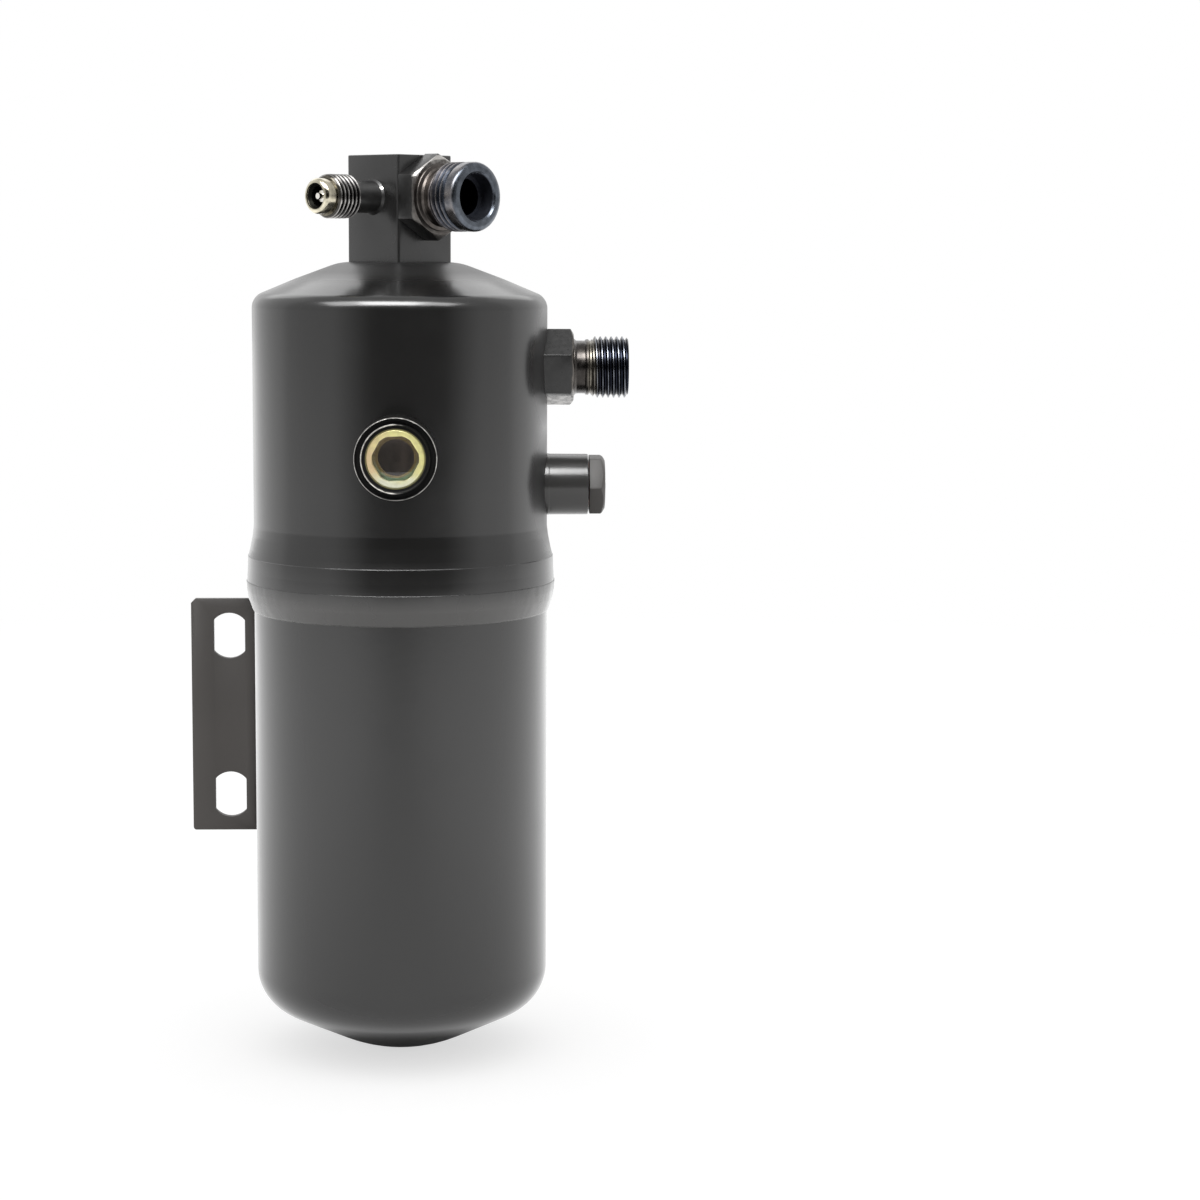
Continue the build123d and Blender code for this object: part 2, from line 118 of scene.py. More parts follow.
def softLine(corners, closed=True, fineness=12):
    # corners are (radius, height) or (radius, height, round); a round becomes an arc
    points = []
    last = len(corners) - 1
    for index, corner in enumerate(corners):
        here = Vector(corner[:2])
        rounding = corner[2] if len(corner) > 2 else 0
        if not rounding or (not closed and index in (0, last)):
            points.append(tuple(here))
            continue
        back = Vector(corners[index - 1][:2]) - here
        ahead = Vector(corners[(index + 1) % len(corners)][:2]) - here
        turn = math.pi - back.angle(ahead)
        reach = min(rounding * math.tan(turn / 2), 0.48 * back.length, 0.48 * ahead.length)
        radius = reach / math.tan(turn / 2)
        middle = here + (back.normalized() + ahead.normalized()).normalized() * radius / math.cos(turn / 2)
        start = here + back.normalized() * reach - middle
        end = here + ahead.normalized() * reach - middle
        count = max(2, math.ceil(math.degrees(turn) / fineness))
        for step in range(count + 1):
            share = step / count
            mix = (math.sin((1 - share) * turn) * start + math.sin(share * turn) * end) / math.sin(turn)
            points.append(tuple(middle + mix))
    return points


def arcPoints(middle, radius, start, end, count):
    # angles in degrees from the axis side up, as on a clock read from the height axis
    points = []
    for step in range(count + 1):
        angle = math.radians(start + (end - start) * step / count)
        points.append((middle[0] + radius * math.sin(angle), middle[1] + radius * math.cos(angle)))
    return points


def turnLine(name, points, steps=96, closed=True):
    if closed:
        points = points + points[:1]
    piece = drawLine(name, points)
    editAll(piece)
    bpy.ops.mesh.spin(steps=steps, angle=2 * math.pi, center=(0, 0, 0), axis=(0, 0, 1))
    editDone()
    closeUp(piece)
    return piece


def turned(name, corners, steps=96, closed=True, fineness=20):
    return turnLine(name, softLine(corners, closed, fineness), steps, closed)


def rod(name, radius, start, end, steps=96):
    return turned(name, [(0, start), (radius, start), (radius, end), (0, end)], steps, closed=False)


def combine(piece, other, operation="DIFFERENCE"):
    modifier = piece.modifiers.new("combine", "BOOLEAN")
    modifier.operation = operation
    modifier.solver = "EXACT"
    modifier.object = other
    applyAll(piece)
    bpy.data.objects.remove(other)
    # slivers that the cut leaves go before they spoil the next one
    editAll(piece)
    bpy.ops.mesh.remove_doubles(threshold=0.0002)
    bpy.ops.mesh.dissolve_degenerate(threshold=0.0002)
    bpy.ops.mesh.delete_loose(use_faces=False)
    editDone()
    return piece


def softenEdges(piece, width, segments=2, angle=30):
    bevel = piece.modifiers.new("soften", "BEVEL")
    bevel.width = width
    bevel.segments = segments
    bevel.limit_method = "ANGLE"
    bevel.angle_limit = math.radians(angle)
    bevel.harden_normals = False
    applyAll(piece)
    return piece


def facing(direction, height=0.0, turn=0.0, out=0.0):
    # place for a piece drawn up the z axis that shall point along direction from the axis
    forward = Vector(direction).normalized()
    side = Vector((0, 0, 1)).cross(forward)
    up = forward.cross(side)
    place = Matrix((
        (side.x, up.x, forward.x, forward.x * out),
        (side.y, up.y, forward.y, forward.y * out),
        (side.z, up.z, forward.z, height + forward.z * out),
        (0, 0, 0, 1),
    ))
    return place @ Matrix.Rotation(math.radians(turn), 4, "Z")


def setPlace(piece, place):
    pick(piece)
    piece.matrix_world = place
    bpy.ops.object.transform_apply(location=True, rotation=True, scale=True)
    return piece


def finishPiece(piece, material, nodes, smooth=35, body="drier"):
    # into the frame, smooth but for its edges, with its material, riding on its body
    setPlace(piece, vesselPlace)
    pick(piece)
    bpy.ops.object.shade_smooth_by_angle(angle=math.radians(smooth))
    piece.data.materials.clear()
    piece.data.materials.append(material)
    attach(piece, body)
    if nodes:
        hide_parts(*nodes)
    print(piece.name, len(piece.data.polygons), "faces")
    return piece


# material helpers

def newMaterial(name):
    material = bpy.data.materials.new(name)
    material.use_nodes = True
    tree = material.node_tree
    tree.nodes.clear()
    output = tree.nodes.new("ShaderNodeOutputMaterial")
    shader = tree.nodes.new("ShaderNodeBsdfPrincipled")
    tree.links.new(shader.outputs["BSDF"], output.inputs["Surface"])
    coordinates = tree.nodes.new("ShaderNodeTexCoord")
    return material, tree, shader, coordinates.outputs["Object"]


def mathNode(tree, operation, first, second=None, clamp=False):
    node = tree.nodes.new("ShaderNodeMath")
    node.operation = operation
    node.use_clamp = clamp
    for socket, value in zip(node.inputs, (first, second)):
        if value is None:
            continue
        if isinstance(value, (int, float)):
            socket.default_value = value
        else:
            tree.links.new(value, socket)
    return node.outputs[0]


def noise(tree, vector, scale, detail=2.0, roughness=0.5):
    node = tree.nodes.new("ShaderNodeTexNoise")
    node.inputs["Scale"].default_value = scale
    node.inputs["Detail"].default_value = detail
    node.inputs["Roughness"].default_value = roughness
    tree.links.new(vector, node.inputs["Vector"])
    return node.outputs["Fac"]


def spread(tree, value, low, high, newLow, newHigh):
    node = tree.nodes.new("ShaderNodeMapRange")
    for name, number in (("From Min", low), ("From Max", high), ("To Min", newLow), ("To Max", newHigh)):
        node.inputs[name].default_value = number
    tree.links.new(value, node.inputs["Value"])
    return node.outputs["Result"]


def ramp(tree, value, stops, interpolation="LINEAR"):
    node = tree.nodes.new("ShaderNodeValToRGB")
    node.color_ramp.interpolation = interpolation
    elements = node.color_ramp.elements
    while len(elements) < len(stops):
        elements.new(0.5)
    for element, (position, colour) in zip(elements, stops):
        element.position = position
        element.color = (*colour, 1) if len(colour) == 3 else colour
    tree.links.new(value, node.inputs["Fac"])
    return node.outputs["Color"]


def mixColour(tree, factor, first, second, blend="MIX"):
    node = tree.nodes.new("ShaderNodeMix")
    node.data_type = "RGBA"
    node.blend_type = blend
    for socket, value in ((node.inputs[0], factor), (node.inputs[6], first), (node.inputs[7], second)):
        if isinstance(value, (int, float)):
            socket.default_value = value
        elif isinstance(value, tuple):
            socket.default_value = (*value, 1)
        else:
            tree.links.new(value, socket)
    return node.outputs[2]


def bumpNode(tree, shader, height, strength, distance):
    node = tree.nodes.new("ShaderNodeBump")
    node.inputs["Strength"].default_value = strength
    node.inputs["Distance"].default_value = distance
    tree.links.new(height, node.inputs["Height"])
    tree.links.new(node.outputs["Normal"], shader.inputs["Normal"])


def axisReadings(tree, coordinates, direction, height):
    # millimetres along and away from a fitting's axis, and the noise of its turning marks
    forward = Vector(direction).normalized()
    start = vesselPlace @ Vector((0, 0, height))
    moved = tree.nodes.new("ShaderNodeVectorMath")
    moved.operation = "SUBTRACT"
    tree.links.new(coordinates, moved.inputs[0])
    moved.inputs[1].default_value = start
    scaled = tree.nodes.new("ShaderNodeVectorMath")
    scaled.operation = "SCALE"
    scaled.inputs["Scale"].default_value = 1000
    tree.links.new(moved.outputs[0], scaled.inputs[0])
    dot = tree.nodes.new("ShaderNodeVectorMath")
    dot.operation = "DOT_PRODUCT"
    tree.links.new(scaled.outputs[0], dot.inputs[0])
    dot.inputs[1].default_value = forward
    cross = tree.nodes.new("ShaderNodeVectorMath")
    cross.operation = "CROSS_PRODUCT"
    tree.links.new(scaled.outputs[0], cross.inputs[0])
    cross.inputs[1].default_value = forward
    length = tree.nodes.new("ShaderNodeVectorMath")
    length.operation = "LENGTH"
    tree.links.new(cross.outputs[0], length.inputs[0])
    return dot.outputs["Value"], length.outputs["Value"]


# paint and metal

paint = {
    "colour": (0.0155, 0.0152, 0.0149),
    "lighter": (0.0195, 0.0191, 0.0187),
    "roughness": (0.17, 0.22),
    "peelScale": 520,
    "peelDepth": 0.000012,
}


def paintMaterial(name, colour=paint["colour"], lighter=paint["lighter"], roughness=paint["roughness"], gloss=0.5, dullSpots=()):
    # sprayed black: slight cloudiness, orange peel, faint dust in the gloss, duller near the fittings
    material, tree, shader, place = newMaterial(name)
    clouds = noise(tree, place, 28, 4)
    tree.links.new(mixColour(tree, clouds, colour, lighter), shader.inputs["Base Color"])
    rough = spread(tree, noise(tree, place, 90, 3), 0.3, 0.7, *roughness)
    for point, reach in dullSpots:
        rough = mathNode(tree, "MAXIMUM", rough, spread(tree, nearPoint(tree, place, point, reach), 0, 8, 0.2, 0.4))
    tree.links.new(rough, shader.inputs["Roughness"])
    shader.inputs["Specular IOR Level"].default_value = gloss
    peel = noise(tree, place, paint["peelScale"], 1)
    bumpNode(tree, shader, peel, 0.5, paint["peelDepth"])
    return material


def metalMaterial(name, colour, darker, roughness, grain=900, depth=0.000004):
    material, tree, shader, place = newMaterial(name)
    shader.inputs["Metallic"].default_value = 1
    clouds = noise(tree, place, 260, 4)
    tree.links.new(mixColour(tree, clouds, darker, colour), shader.inputs["Base Color"])
    tree.links.new(spread(tree, noise(tree, place, 500, 3), 0.3, 0.7, *roughness), shader.inputs["Roughness"])
    bumpNode(tree, shader, noise(tree, place, grain, 2), 0.5, depth)
    return material


def fittingMaterial(name, direction, height, zones, crest=None, bare=None, ragged=0.45, bores=(), dull=None, gloss=0.5, bareMetal=None):
    # zones along the axis: (millimetres, colour, metallic, roughness), each blended into the next
    # bare is a reading that is above 0 where the paint has gone, with edges as ragged as given
    # where dull is given the bare metal is blotched with it
    # bores: (radius, start, colour) for what lies within that radius from start on, dull, the widest first; their dark
    # colours are painted shade inside bores, mouths and grooves
    material, tree, shader, place = newMaterial(name)
    shader.inputs["Specular IOR Level"].default_value = gloss
    along, away = axisReadings(tree, place, direction, height)
    wander = spread(tree, noise(tree, place, 420, 3), 0.3, 0.7, -0.25, 0.25)
    mark = mathNode(tree, "ADD", along, wander)
    first = zones[0][0]
    length = zones[-1][0] - first
    share = spread(tree, mark, first, first + length, 0, 1)
    colour = ramp(tree, share, [((zone[0] - first) / length, zone[1]) for zone in zones])
    metallic = ramp(tree, share, [((zone[0] - first) / length, (zone[2],) * 3) for zone in zones])
    rough = ramp(tree, share, [((zone[0] - first) / length, (zone[3],) * 3) for zone in zones])
    stain = spread(tree, noise(tree, place, 700, 4), 0.3, 0.7, 0.72, 1.2)
    stained = mixColour(tree, 1.0, colour, stain, "MULTIPLY")
    if crest:
        # the thread's crests are coloured brighter than its flanks and roots
        crestLift = spread(tree, away, crest["radius"] - crest["depth"], crest["radius"], 0, crest["amount"])
        inThread = mathNode(tree, "GREATER_THAN", along, crest["start"])
        crestLift = mathNode(tree, "MULTIPLY", crestLift, inThread, clamp=True)
        crestLift = mathNode(tree, "MULTIPLY", crestLift, spread(tree, noise(tree, place, 350, 3), 0.35, 0.6, 0.3, 1), clamp=True)
        stained = mixColour(tree, crestLift, stained, crest["colour"])
    # painted shade: the insides of bores and grooves are darkened by colour
    for radius, start, inner in bores:
        within = spread(tree, away, radius - 0.1, radius + 0.05, 1, 0)
        within = mathNode(tree, "MULTIPLY", within, mathNode(tree, "GREATER_THAN", along, start))
        stained = mixColour(tree, within, stained, inner)
        rough = mathNode(tree, "MAXIMUM", rough, mathNode(tree, "MULTIPLY", within, 0.5))
    if bare:
        edge = spread(tree, noise(tree, place, 600, 4), 0.3, 0.7, -ragged, ragged)
        patch = spread(tree, mathNode(tree, "ADD", bare(tree, place, along, away), edge), 0, 0.25, 0, 1)
        shiny = bareMetal or silver
        if dull:
            shiny = mixColour(tree, spread(tree, noise(tree, place, 480, 5, 0.6), 0.42, 0.6, 0, 1), dull, shiny)
        stained = mixColour(tree, patch, stained, shiny)
        metallic = mathNode(tree, "MAXIMUM", metallic, patch)
    tree.links.new(stained, shader.inputs["Base Color"])
    tree.links.new(metallic, shader.inputs["Metallic"])
    wear = spread(tree, noise(tree, place, 900, 3), 0.3, 0.7, -0.05, 0.07)
    tree.links.new(mathNode(tree, "ADD", rough, wear, clamp=True), shader.inputs["Roughness"])
    rings = tree.nodes.new("ShaderNodeTexNoise")
    rings.noise_dimensions = "1D"
    rings.inputs["Scale"].default_value = 9
    rings.inputs["Detail"].default_value = 3
    tree.links.new(along, rings.inputs["W"])
    bumpNode(tree, shader, rings.outputs["Fac"], 0.35, 0.00002)
    return material


def nearPoint(tree, place, point, radius):
    # above 0 within radius millimetres of a point on the vessel
    gap = tree.nodes.new("ShaderNodeVectorMath")
    gap.operation = "DISTANCE"
    tree.links.new(place, gap.inputs[0])
    gap.inputs[1].default_value = vesselPlace @ Vector(point)
    return mathNode(tree, "SUBTRACT", radius, mathNode(tree, "MULTIPLY", gap.outputs["Value"], 1000))


def below(tree, place, height):
    # above 0 under a height on the vessel, in millimetres
    split = tree.nodes.new("ShaderNodeSeparateXYZ")
    tree.links.new(place, split.inputs[0])
    level = mathNode(tree, "MULTIPLY", split.outputs["Z"], -1000)
    return mathNode(tree, "ADD", level, zeroZ * 1000 + height)


silver = (0.62, 0.60, 0.57)
black = paint["colour"]


def weldMaterial():
    # rougher paint on the bead, lighter towards its foot
    material, tree, shader, place = newMaterial("weld paint")
    paleFoot = mixColour(tree, noise(tree, place, 28, 4), (0.060, 0.058, 0.056), (0.085, 0.083, 0.080))
    # the bead's colour turns lighter towards its foot
    footward = spread(tree, below(tree, place, 0), -5.6, -1.6, 0, 1)
    tree.links.new(mixColour(tree, footward, black, paleFoot), shader.inputs["Base Color"])
    tree.links.new(spread(tree, noise(tree, place, 90, 3), 0.3, 0.7, 0.20, 0.32), shader.inputs["Roughness"])
    bumpNode(tree, shader, noise(tree, place, paint["peelScale"], 1), 0.5, paint["peelDepth"])
    return material



print("materials")
shellPaint = paintMaterial("shell paint", dullSpots=(((38.1, 0, 61.0), 21), ((38.1, 0, 30.5), 21), ((0, 0, 87.0), 30)))
blockPaint = paintMaterial("block paint", roughness=(0.22, 0.30))
bracketPaint = paintMaterial("bracket paint", (0.086, 0.080, 0.076), (0.112, 0.104, 0.098), (0.42, 0.52), 0.2)
weldPaint = weldMaterial()
bareSteel = metalMaterial("bare steel", (0.25, 0.235, 0.215), (0.16, 0.15, 0.14), (0.3, 0.45))
springSteel = metalMaterial("spring steel", (0.20, 0.20, 0.205), (0.13, 0.13, 0.13), (0.3, 0.4))
coreMetal = metalMaterial("valve core metal", (0.16, 0.14, 0.115), (0.06, 0.055, 0.05), (0.14, 0.22))
pinMetal = metalMaterial("pin metal", (0.85, 0.83, 0.78), (0.7, 0.68, 0.62), (0.12, 0.2))
solder = metalMaterial("fusible metal", (0.55, 0.55, 0.53), (0.4, 0.4, 0.4), (0.35, 0.5))


def rubberMaterial():
    material, tree, shader, place = newMaterial("seal rubber")
    tree.links.new(mixColour(tree, noise(tree, place, 400, 3), (0.012, 0.012, 0.012), (0.022, 0.022, 0.021)),
                   shader.inputs["Base Color"])
    shader.inputs["Roughness"].default_value = 0.6
    bumpNode(tree, shader, noise(tree, place, 1500, 2), 0.5, 0.00001)
    return material


def feltMaterial():
    # matted fibres
    material, tree, shader, place = newMaterial("filter felt")
    tree.links.new(mixColour(tree, noise(tree, place, 800, 6, 0.7), (0.55, 0.52, 0.45), (0.74, 0.71, 0.63)),
                   shader.inputs["Base Color"])
    shader.inputs["Roughness"].default_value = 0.95
    bumpNode(tree, shader, noise(tree, place, 1400, 6, 0.8), 0.9, 0.0002)
    return material


def beadMaterial():
    # drying beads, each a round lump of its own shade
    material, tree, shader, place = newMaterial("drying beads")
    cells = tree.nodes.new("ShaderNodeTexVoronoi")
    cells.inputs["Scale"].default_value = 420
    tree.links.new(place, cells.inputs["Vector"])
    shade = tree.nodes.new("ShaderNodeSeparateColor")
    tree.links.new(cells.outputs["Color"], shade.inputs["Color"])
    tree.links.new(mixColour(tree, shade.outputs[0], (0.50, 0.42, 0.30), (0.68, 0.60, 0.46)),
                   shader.inputs["Base Color"])
    shader.inputs["Roughness"].default_value = 0.8
    bumpNode(tree, shader, mathNode(tree, "SUBTRACT", 1, cells.outputs["Distance"]), 0.9, 0.0009)
    return material


def washerMaterial(node, direction, height):
    # copper, with the vessel's paint over its rim
    low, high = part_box(node)
    rim = (high[2] - low[2]) * 500
    material, tree, shader, place = newMaterial(node.replace("_", " "))
    along, away = axisReadings(tree, place, direction, height)
    ragged = mathNode(tree, "ADD", away, spread(tree, noise(tree, place, 500, 3), 0.3, 0.7, -0.08, 0.08))
    painted = spread(tree, ragged, rim - 0.5, rim - 0.4, 0, 1)
    worn = mixColour(tree, noise(tree, place, 260, 4), (0.5, 0.25, 0.15), (0.72, 0.36, 0.22))
    tree.links.new(mixColour(tree, painted, worn, black), shader.inputs["Base Color"])
    tree.links.new(mathNode(tree, "SUBTRACT", 1, painted), shader.inputs["Metallic"])
    shader.inputs["Roughness"].default_value = 0.35
    bumpNode(tree, shader, noise(tree, place, 900, 2), 0.4, 0.000006)
    return material


def sealMaterial():
    # the sight glass's olive seal, stained green towards its bottom
    material, tree, shader, place = newMaterial("glass seal")
    low = below(tree, place, ports["glassHeight"])
    stain = spread(tree, low, -1, 5, 0, 1)
    olive = mixColour(tree, noise(tree, place, 500, 3), (0.24, 0.22, 0.10), (0.34, 0.31, 0.14))
    tree.links.new(mixColour(tree, stain, olive, (0.10, 0.27, 0.17)), shader.inputs["Base Color"])
    shader.inputs["Roughness"].default_value = 0.55
    bumpNode(tree, shader, noise(tree, place, 1200, 2), 0.4, 0.00001)
    return material


rubber = rubberMaterial()
felt = feltMaterial()
beads = beadMaterial()

# the two drawn shells

shells = {
    "radius": 38.1, "wall": 1.8, "steps": 256,
    "crownFlat": 88.0, "crownFlatRadius": 11.8, "crownKnuckle": 4.2,
    "bellTop": 20.0, "creaseHeight": 12.2, "creaseRadius": 39.64, "mouthRadius": 39.98,
    "lowerRim": 8.0, "knuckleStart": -97.0, "knuckle": 12.0, "bottomSlope": 26.0, "nose": 40.0,
}
inside = shells["radius"] - shells["wall"]


def crownOutline(thinner):
    # knuckle and crown from the cylinder to the flat, one wall in for the inside
    lower = thinner * 1.08
    flat = shells["crownFlat"] - thinner
    return softLine([
        (shells["radius"] - thinner, 60), (shells["radius"] - thinner, 78.9 - thinner * 0.66, shells["crownKnuckle"] - thinner),
        (27.0, 83.55 - lower, 50.0), (16.0, 87.65 - lower, 30.0), (shells["crownFlatRadius"], flat),
    ], closed=False, fineness=5)[1:]


def bottomOutline(thinner):
    # knuckle, slope and nose from the cylinder down to the middle
    slope = shells["bottomSlope"]
    knuckle = shells["knuckle"] - thinner
    nose = shells["nose"] - thinner
    middle = shells["radius"] - shells["knuckle"]
    bend = arcPoints((middle, shells["knuckleStart"]), knuckle, 90, 180 - slope, 16)
    run = bend[-1][0] - nose * math.sin(math.radians(slope))
    noseHeight = bend[-1][1] - run * math.tan(math.radians(slope)) + nose * math.cos(math.radians(slope))
    return bend + arcPoints((0, noseHeight), nose, 180 - slope, 180, 8)


print("shells")
ports = {"inletHeight": 61.0, "reliefHeight": 30.5, "glassHeight": 40.6, "blockHeight": 104.4}
right = (1, 0, 0)
front = (0, -1, 0)
frontRight = (1, -1, 0)
frontLeft = (-1, -1, 0)
rearRight = (1, 1, 0)

socket = shells["radius"] + 0.05
upperOutline = softLine([
    (socket, rimHeight), (shells["mouthRadius"], rimHeight, 0.25), (39.78, 8.6, 6.0),
    (shells["creaseRadius"], shells["creaseHeight"], 0.12), (shells["creaseRadius"] - 0.13, shells["creaseHeight"] + 0.1, 0.2),
    (39.1, 13.9, 4.0), (38.4, 17.4, 8.0), (shells["radius"], shells["bellTop"], 6.0), (shells["radius"], 30),
], closed=False)
innerCrown = crownOutline(shells["wall"])
upperOutline += crownOutline(0)
upperOutline += [(7.05, shells["crownFlat"]), (7.05, shells["crownFlat"] - shells["wall"])]
upperOutline += list(reversed(innerCrown))
upperOutline += [(inside, 18.5), (socket, 8.9)]
upperShell = turnLine("upperShell", upperOutline, shells["steps"])
for direction, height, radius in ((right, ports["inletHeight"], 5.95), (right, ports["reliefHeight"], 5.85),
                                  (front, ports["glassHeight"], 7.25)):
    cutter = setPlace(rod("cutter", radius, 20, 60), facing(direction, height))
    combine(upperShell, cutter)
finishPiece(upperShell, shellPaint, ["upper_shell"], 25)

lowerOutline = [(inside, shells["lowerRim"]), (shells["radius"], shells["lowerRim"])]
lowerOutline += bottomOutline(0)
lowerOutline += list(reversed(bottomOutline(shells["wall"])))
lowerShell = turnLine("lowerShell", lowerOutline, shells["steps"], closed=True)
finishPiece(lowerShell, shellPaint, ["lower_shell"], 25)

# the weld bead round the joint

seam = {"foot": -1.7, "stand": 40.12, "top": 5.85, "steps": 480, "lumps": ((2.2, 0.08), (9.0, 0.12))}
seamCorners = [
    (shells["radius"], seam["foot"] - 0.6), (38.5, seam["foot"] - 0.2, 0.8), (38.95, -0.6, 1.5), (39.6, 1.3, 2.5), (39.95, 3.4, 3.0),
    (seam["stand"], seam["top"] - 0.1, 0.28), (shells["mouthRadius"] - 0.2, seam["top"]), (shells["radius"], seam["top"]),
]
seamWeld = turned("seamWeld", seamCorners, seam["steps"], fineness=8)
for size, strength in seam["lumps"]:
    lumps = bpy.data.textures.new("weld lumps", "CLOUDS")
    lumps.noise_scale = size
    swell = seamWeld.modifiers.new("lumps", "DISPLACE")
    swell.texture = lumps
    swell.texture_coords = "LOCAL"
    swell.mid_level = 0.5
    swell.strength = strength
applyAll(seamWeld)
finishPiece(seamWeld, weldPaint, ["seam_weld"], 60)


# square block on the crown

block = {"width": 19.05, "bottom": 87.3, "top": 115.1, "corner": 0.8, "edge": 0.3}


def selectEdges(piece, test):
    # leaves edit mode on with only the edges selected whose middle and direction pass the test
    editAll(piece)
    bpy.ops.mesh.select_mode(type="EDGE")
    bpy.ops.mesh.select_all(action="DESELECT")
    editDone()
    for edge in piece.data.edges:
        start, end = (piece.data.vertices[index].co for index in edge.vertices)
        edge.select = test((start + end) / 2, (end - start).normalized())
    bpy.ops.object.mode_set(mode="EDIT")


def makeBlock():
    deselectAll()
    bpy.ops.mesh.primitive_cube_add(size=1, location=(0, 0, (block["bottom"] + block["top"]) / 2))
    piece = bpy.context.object
    piece.name = "headerBlock"
    piece.scale = (block["width"], block["width"], block["top"] - block["bottom"])
    bpy.ops.object.transform_apply(location=True, rotation=True, scale=True)
    selectEdges(piece, lambda middle, way: abs(way.z) > 0.9)
    bpy.ops.mesh.bevel(offset=block["corner"], segments=5, affect="EDGES")
    editDone()
    selectEdges(piece, lambda middle, way: abs(way.z) < 0.1 and middle.z > block["top"] - 0.1)
    bpy.ops.mesh.bevel(offset=block["edge"], segments=3, affect="EDGES")
    editDone()
    setPlace(piece, Matrix.Rotation(math.radians(45), 4, "Z"))
    combine(piece, rod("spigot", 7.0, 83, 90), "UNION")
    combine(piece, turned("bore", [(0, 82), (4.8, 82), (4.8, 94.05), (3.6, 94.05), (3.6, 108), (0, 108)], 80, closed=False))
    drilled = [(frontRight, [(0, 0), (4.5, 0), (4.5, 5.97), (7.05, 5.97), (7.05, 20), (0, 20)]),
               (frontLeft, [(0, 0), (1.6, 0), (1.6, 4.97), (4.05, 4.97), (4.05, 20), (0, 20)]),
               (rearRight, [(0, 4.47), (5.05, 4.47), (5.05, 20), (0, 20)])]
    for direction, corners in drilled:
        cutter = setPlace(turned("port", corners, 88, closed=False), facing(direction, ports["blockHeight"], 1.7))
        combine(piece, cutter)
    closeUp(piece, 0.001)
    return piece


print("header block")
headerBlock = makeBlock()
finishPiece(headerBlock, blockPaint, ["header_block"], 30)


# turned fittings

def hexHead(flats, start, end, bevel, edge=0.18, rear=0.0):
    # six flats with the corners turned off at 30 degrees in front, and behind if rear is given
    corner = flats / math.sqrt(3)
    deselectAll()
    bpy.ops.mesh.primitive_cylinder_add(vertices=6, radius=corner, depth=end - start,
                                        location=(0, 0, (start + end) / 2))
    head = bpy.context.object
    setPlace(head, head.matrix_world.copy())
    setPlace(head, Matrix.Rotation(math.radians(30), 4, "Z"))
    slant = math.tan(math.radians(30))
    corners = [(0, start), (corner + 0.01 - rear, start), (corner + 0.01, start + rear * slant),
               (corner + 0.01, end - bevel * slant), (corner + 0.01 - bevel, end), (0, end)]
    combine(head, turned("envelope", corners, 96, closed=False), "INTERSECT")
    closeUp(head)
    return softenEdges(head, edge, 2, 20)


def threadedRod(crestRadius, pitch, depth, start, end, bevel, startBevel=None, steps=72):
    # one groove's outline wound up the axis, cut square, then beveled by its envelope
    startBevel = bevel if startBevel is None else startBevel
    root = crestRadius - depth
    low = start - 2 * pitch
    outline = [(root, 0), (root, 0.10 * pitch), (crestRadius, 0.42 * pitch), (crestRadius, 0.56 * pitch),
               (root, 0.88 * pitch), (root, pitch)]
    thread = drawLine("thread", [(radius, low + height) for radius, height in outline])
    wind = thread.modifiers.new("wind", "SCREW")
    wind.axis = "Z"
    wind.angle = 2 * math.pi
    wind.screw_offset = pitch
    wind.iterations = math.ceil((end - start) / pitch) + 4
    wind.steps = steps
    wind.render_steps = steps
    wind.use_merge_vertices = True
    wind.merge_threshold = 0.001
    applyAll(thread)
    editAll(thread)
    bpy.ops.mesh.remove_doubles(threshold=0.001)
    for height, inner in ((start - 0.05, True), (end + 0.05, False)):
        bpy.ops.mesh.select_all(action="SELECT")
        bpy.ops.mesh.bisect(plane_co=(0, 0, height), plane_no=(0, 0, 1), use_fill=True,
                            clear_inner=inner, clear_outer=not inner)
    bpy.ops.mesh.select_all(action="SELECT")
    bpy.ops.mesh.normals_make_consistent(inside=False)
    editDone()
    over = crestRadius + 0.02
    corners = [(0, start), (over - startBevel, start), (over, start + startBevel), (over, end - bevel),
               (over - bevel, end), (0, end)]
    return combine(thread, turned("envelope", corners, 96, closed=False), "INTERSECT")


def joinFitting(name, parts, bores):
    piece = parts[0]
    piece.name = name
    for part in parts[1:]:
        combine(piece, part, "UNION")
    for bore in bores:
        combine(piece, bore)
    closeUp(piece, 0.002)
    return piece


blockFace = block["width"] / 2
outlet = {
    "flats": 19.05, "hexLength": 5.6, "neck": 7.2, "neckLength": 3.9, "thread": 8.73, "threadLength": 9.4,
    "pitch": 1.5875, "depth": 0.85, "spigot": 7.0, "spigotLength": 3.5, "mouth": 5.9, "mouthDepth": 4.5,
    "bore": 4.5, "turn": 30.0,
}


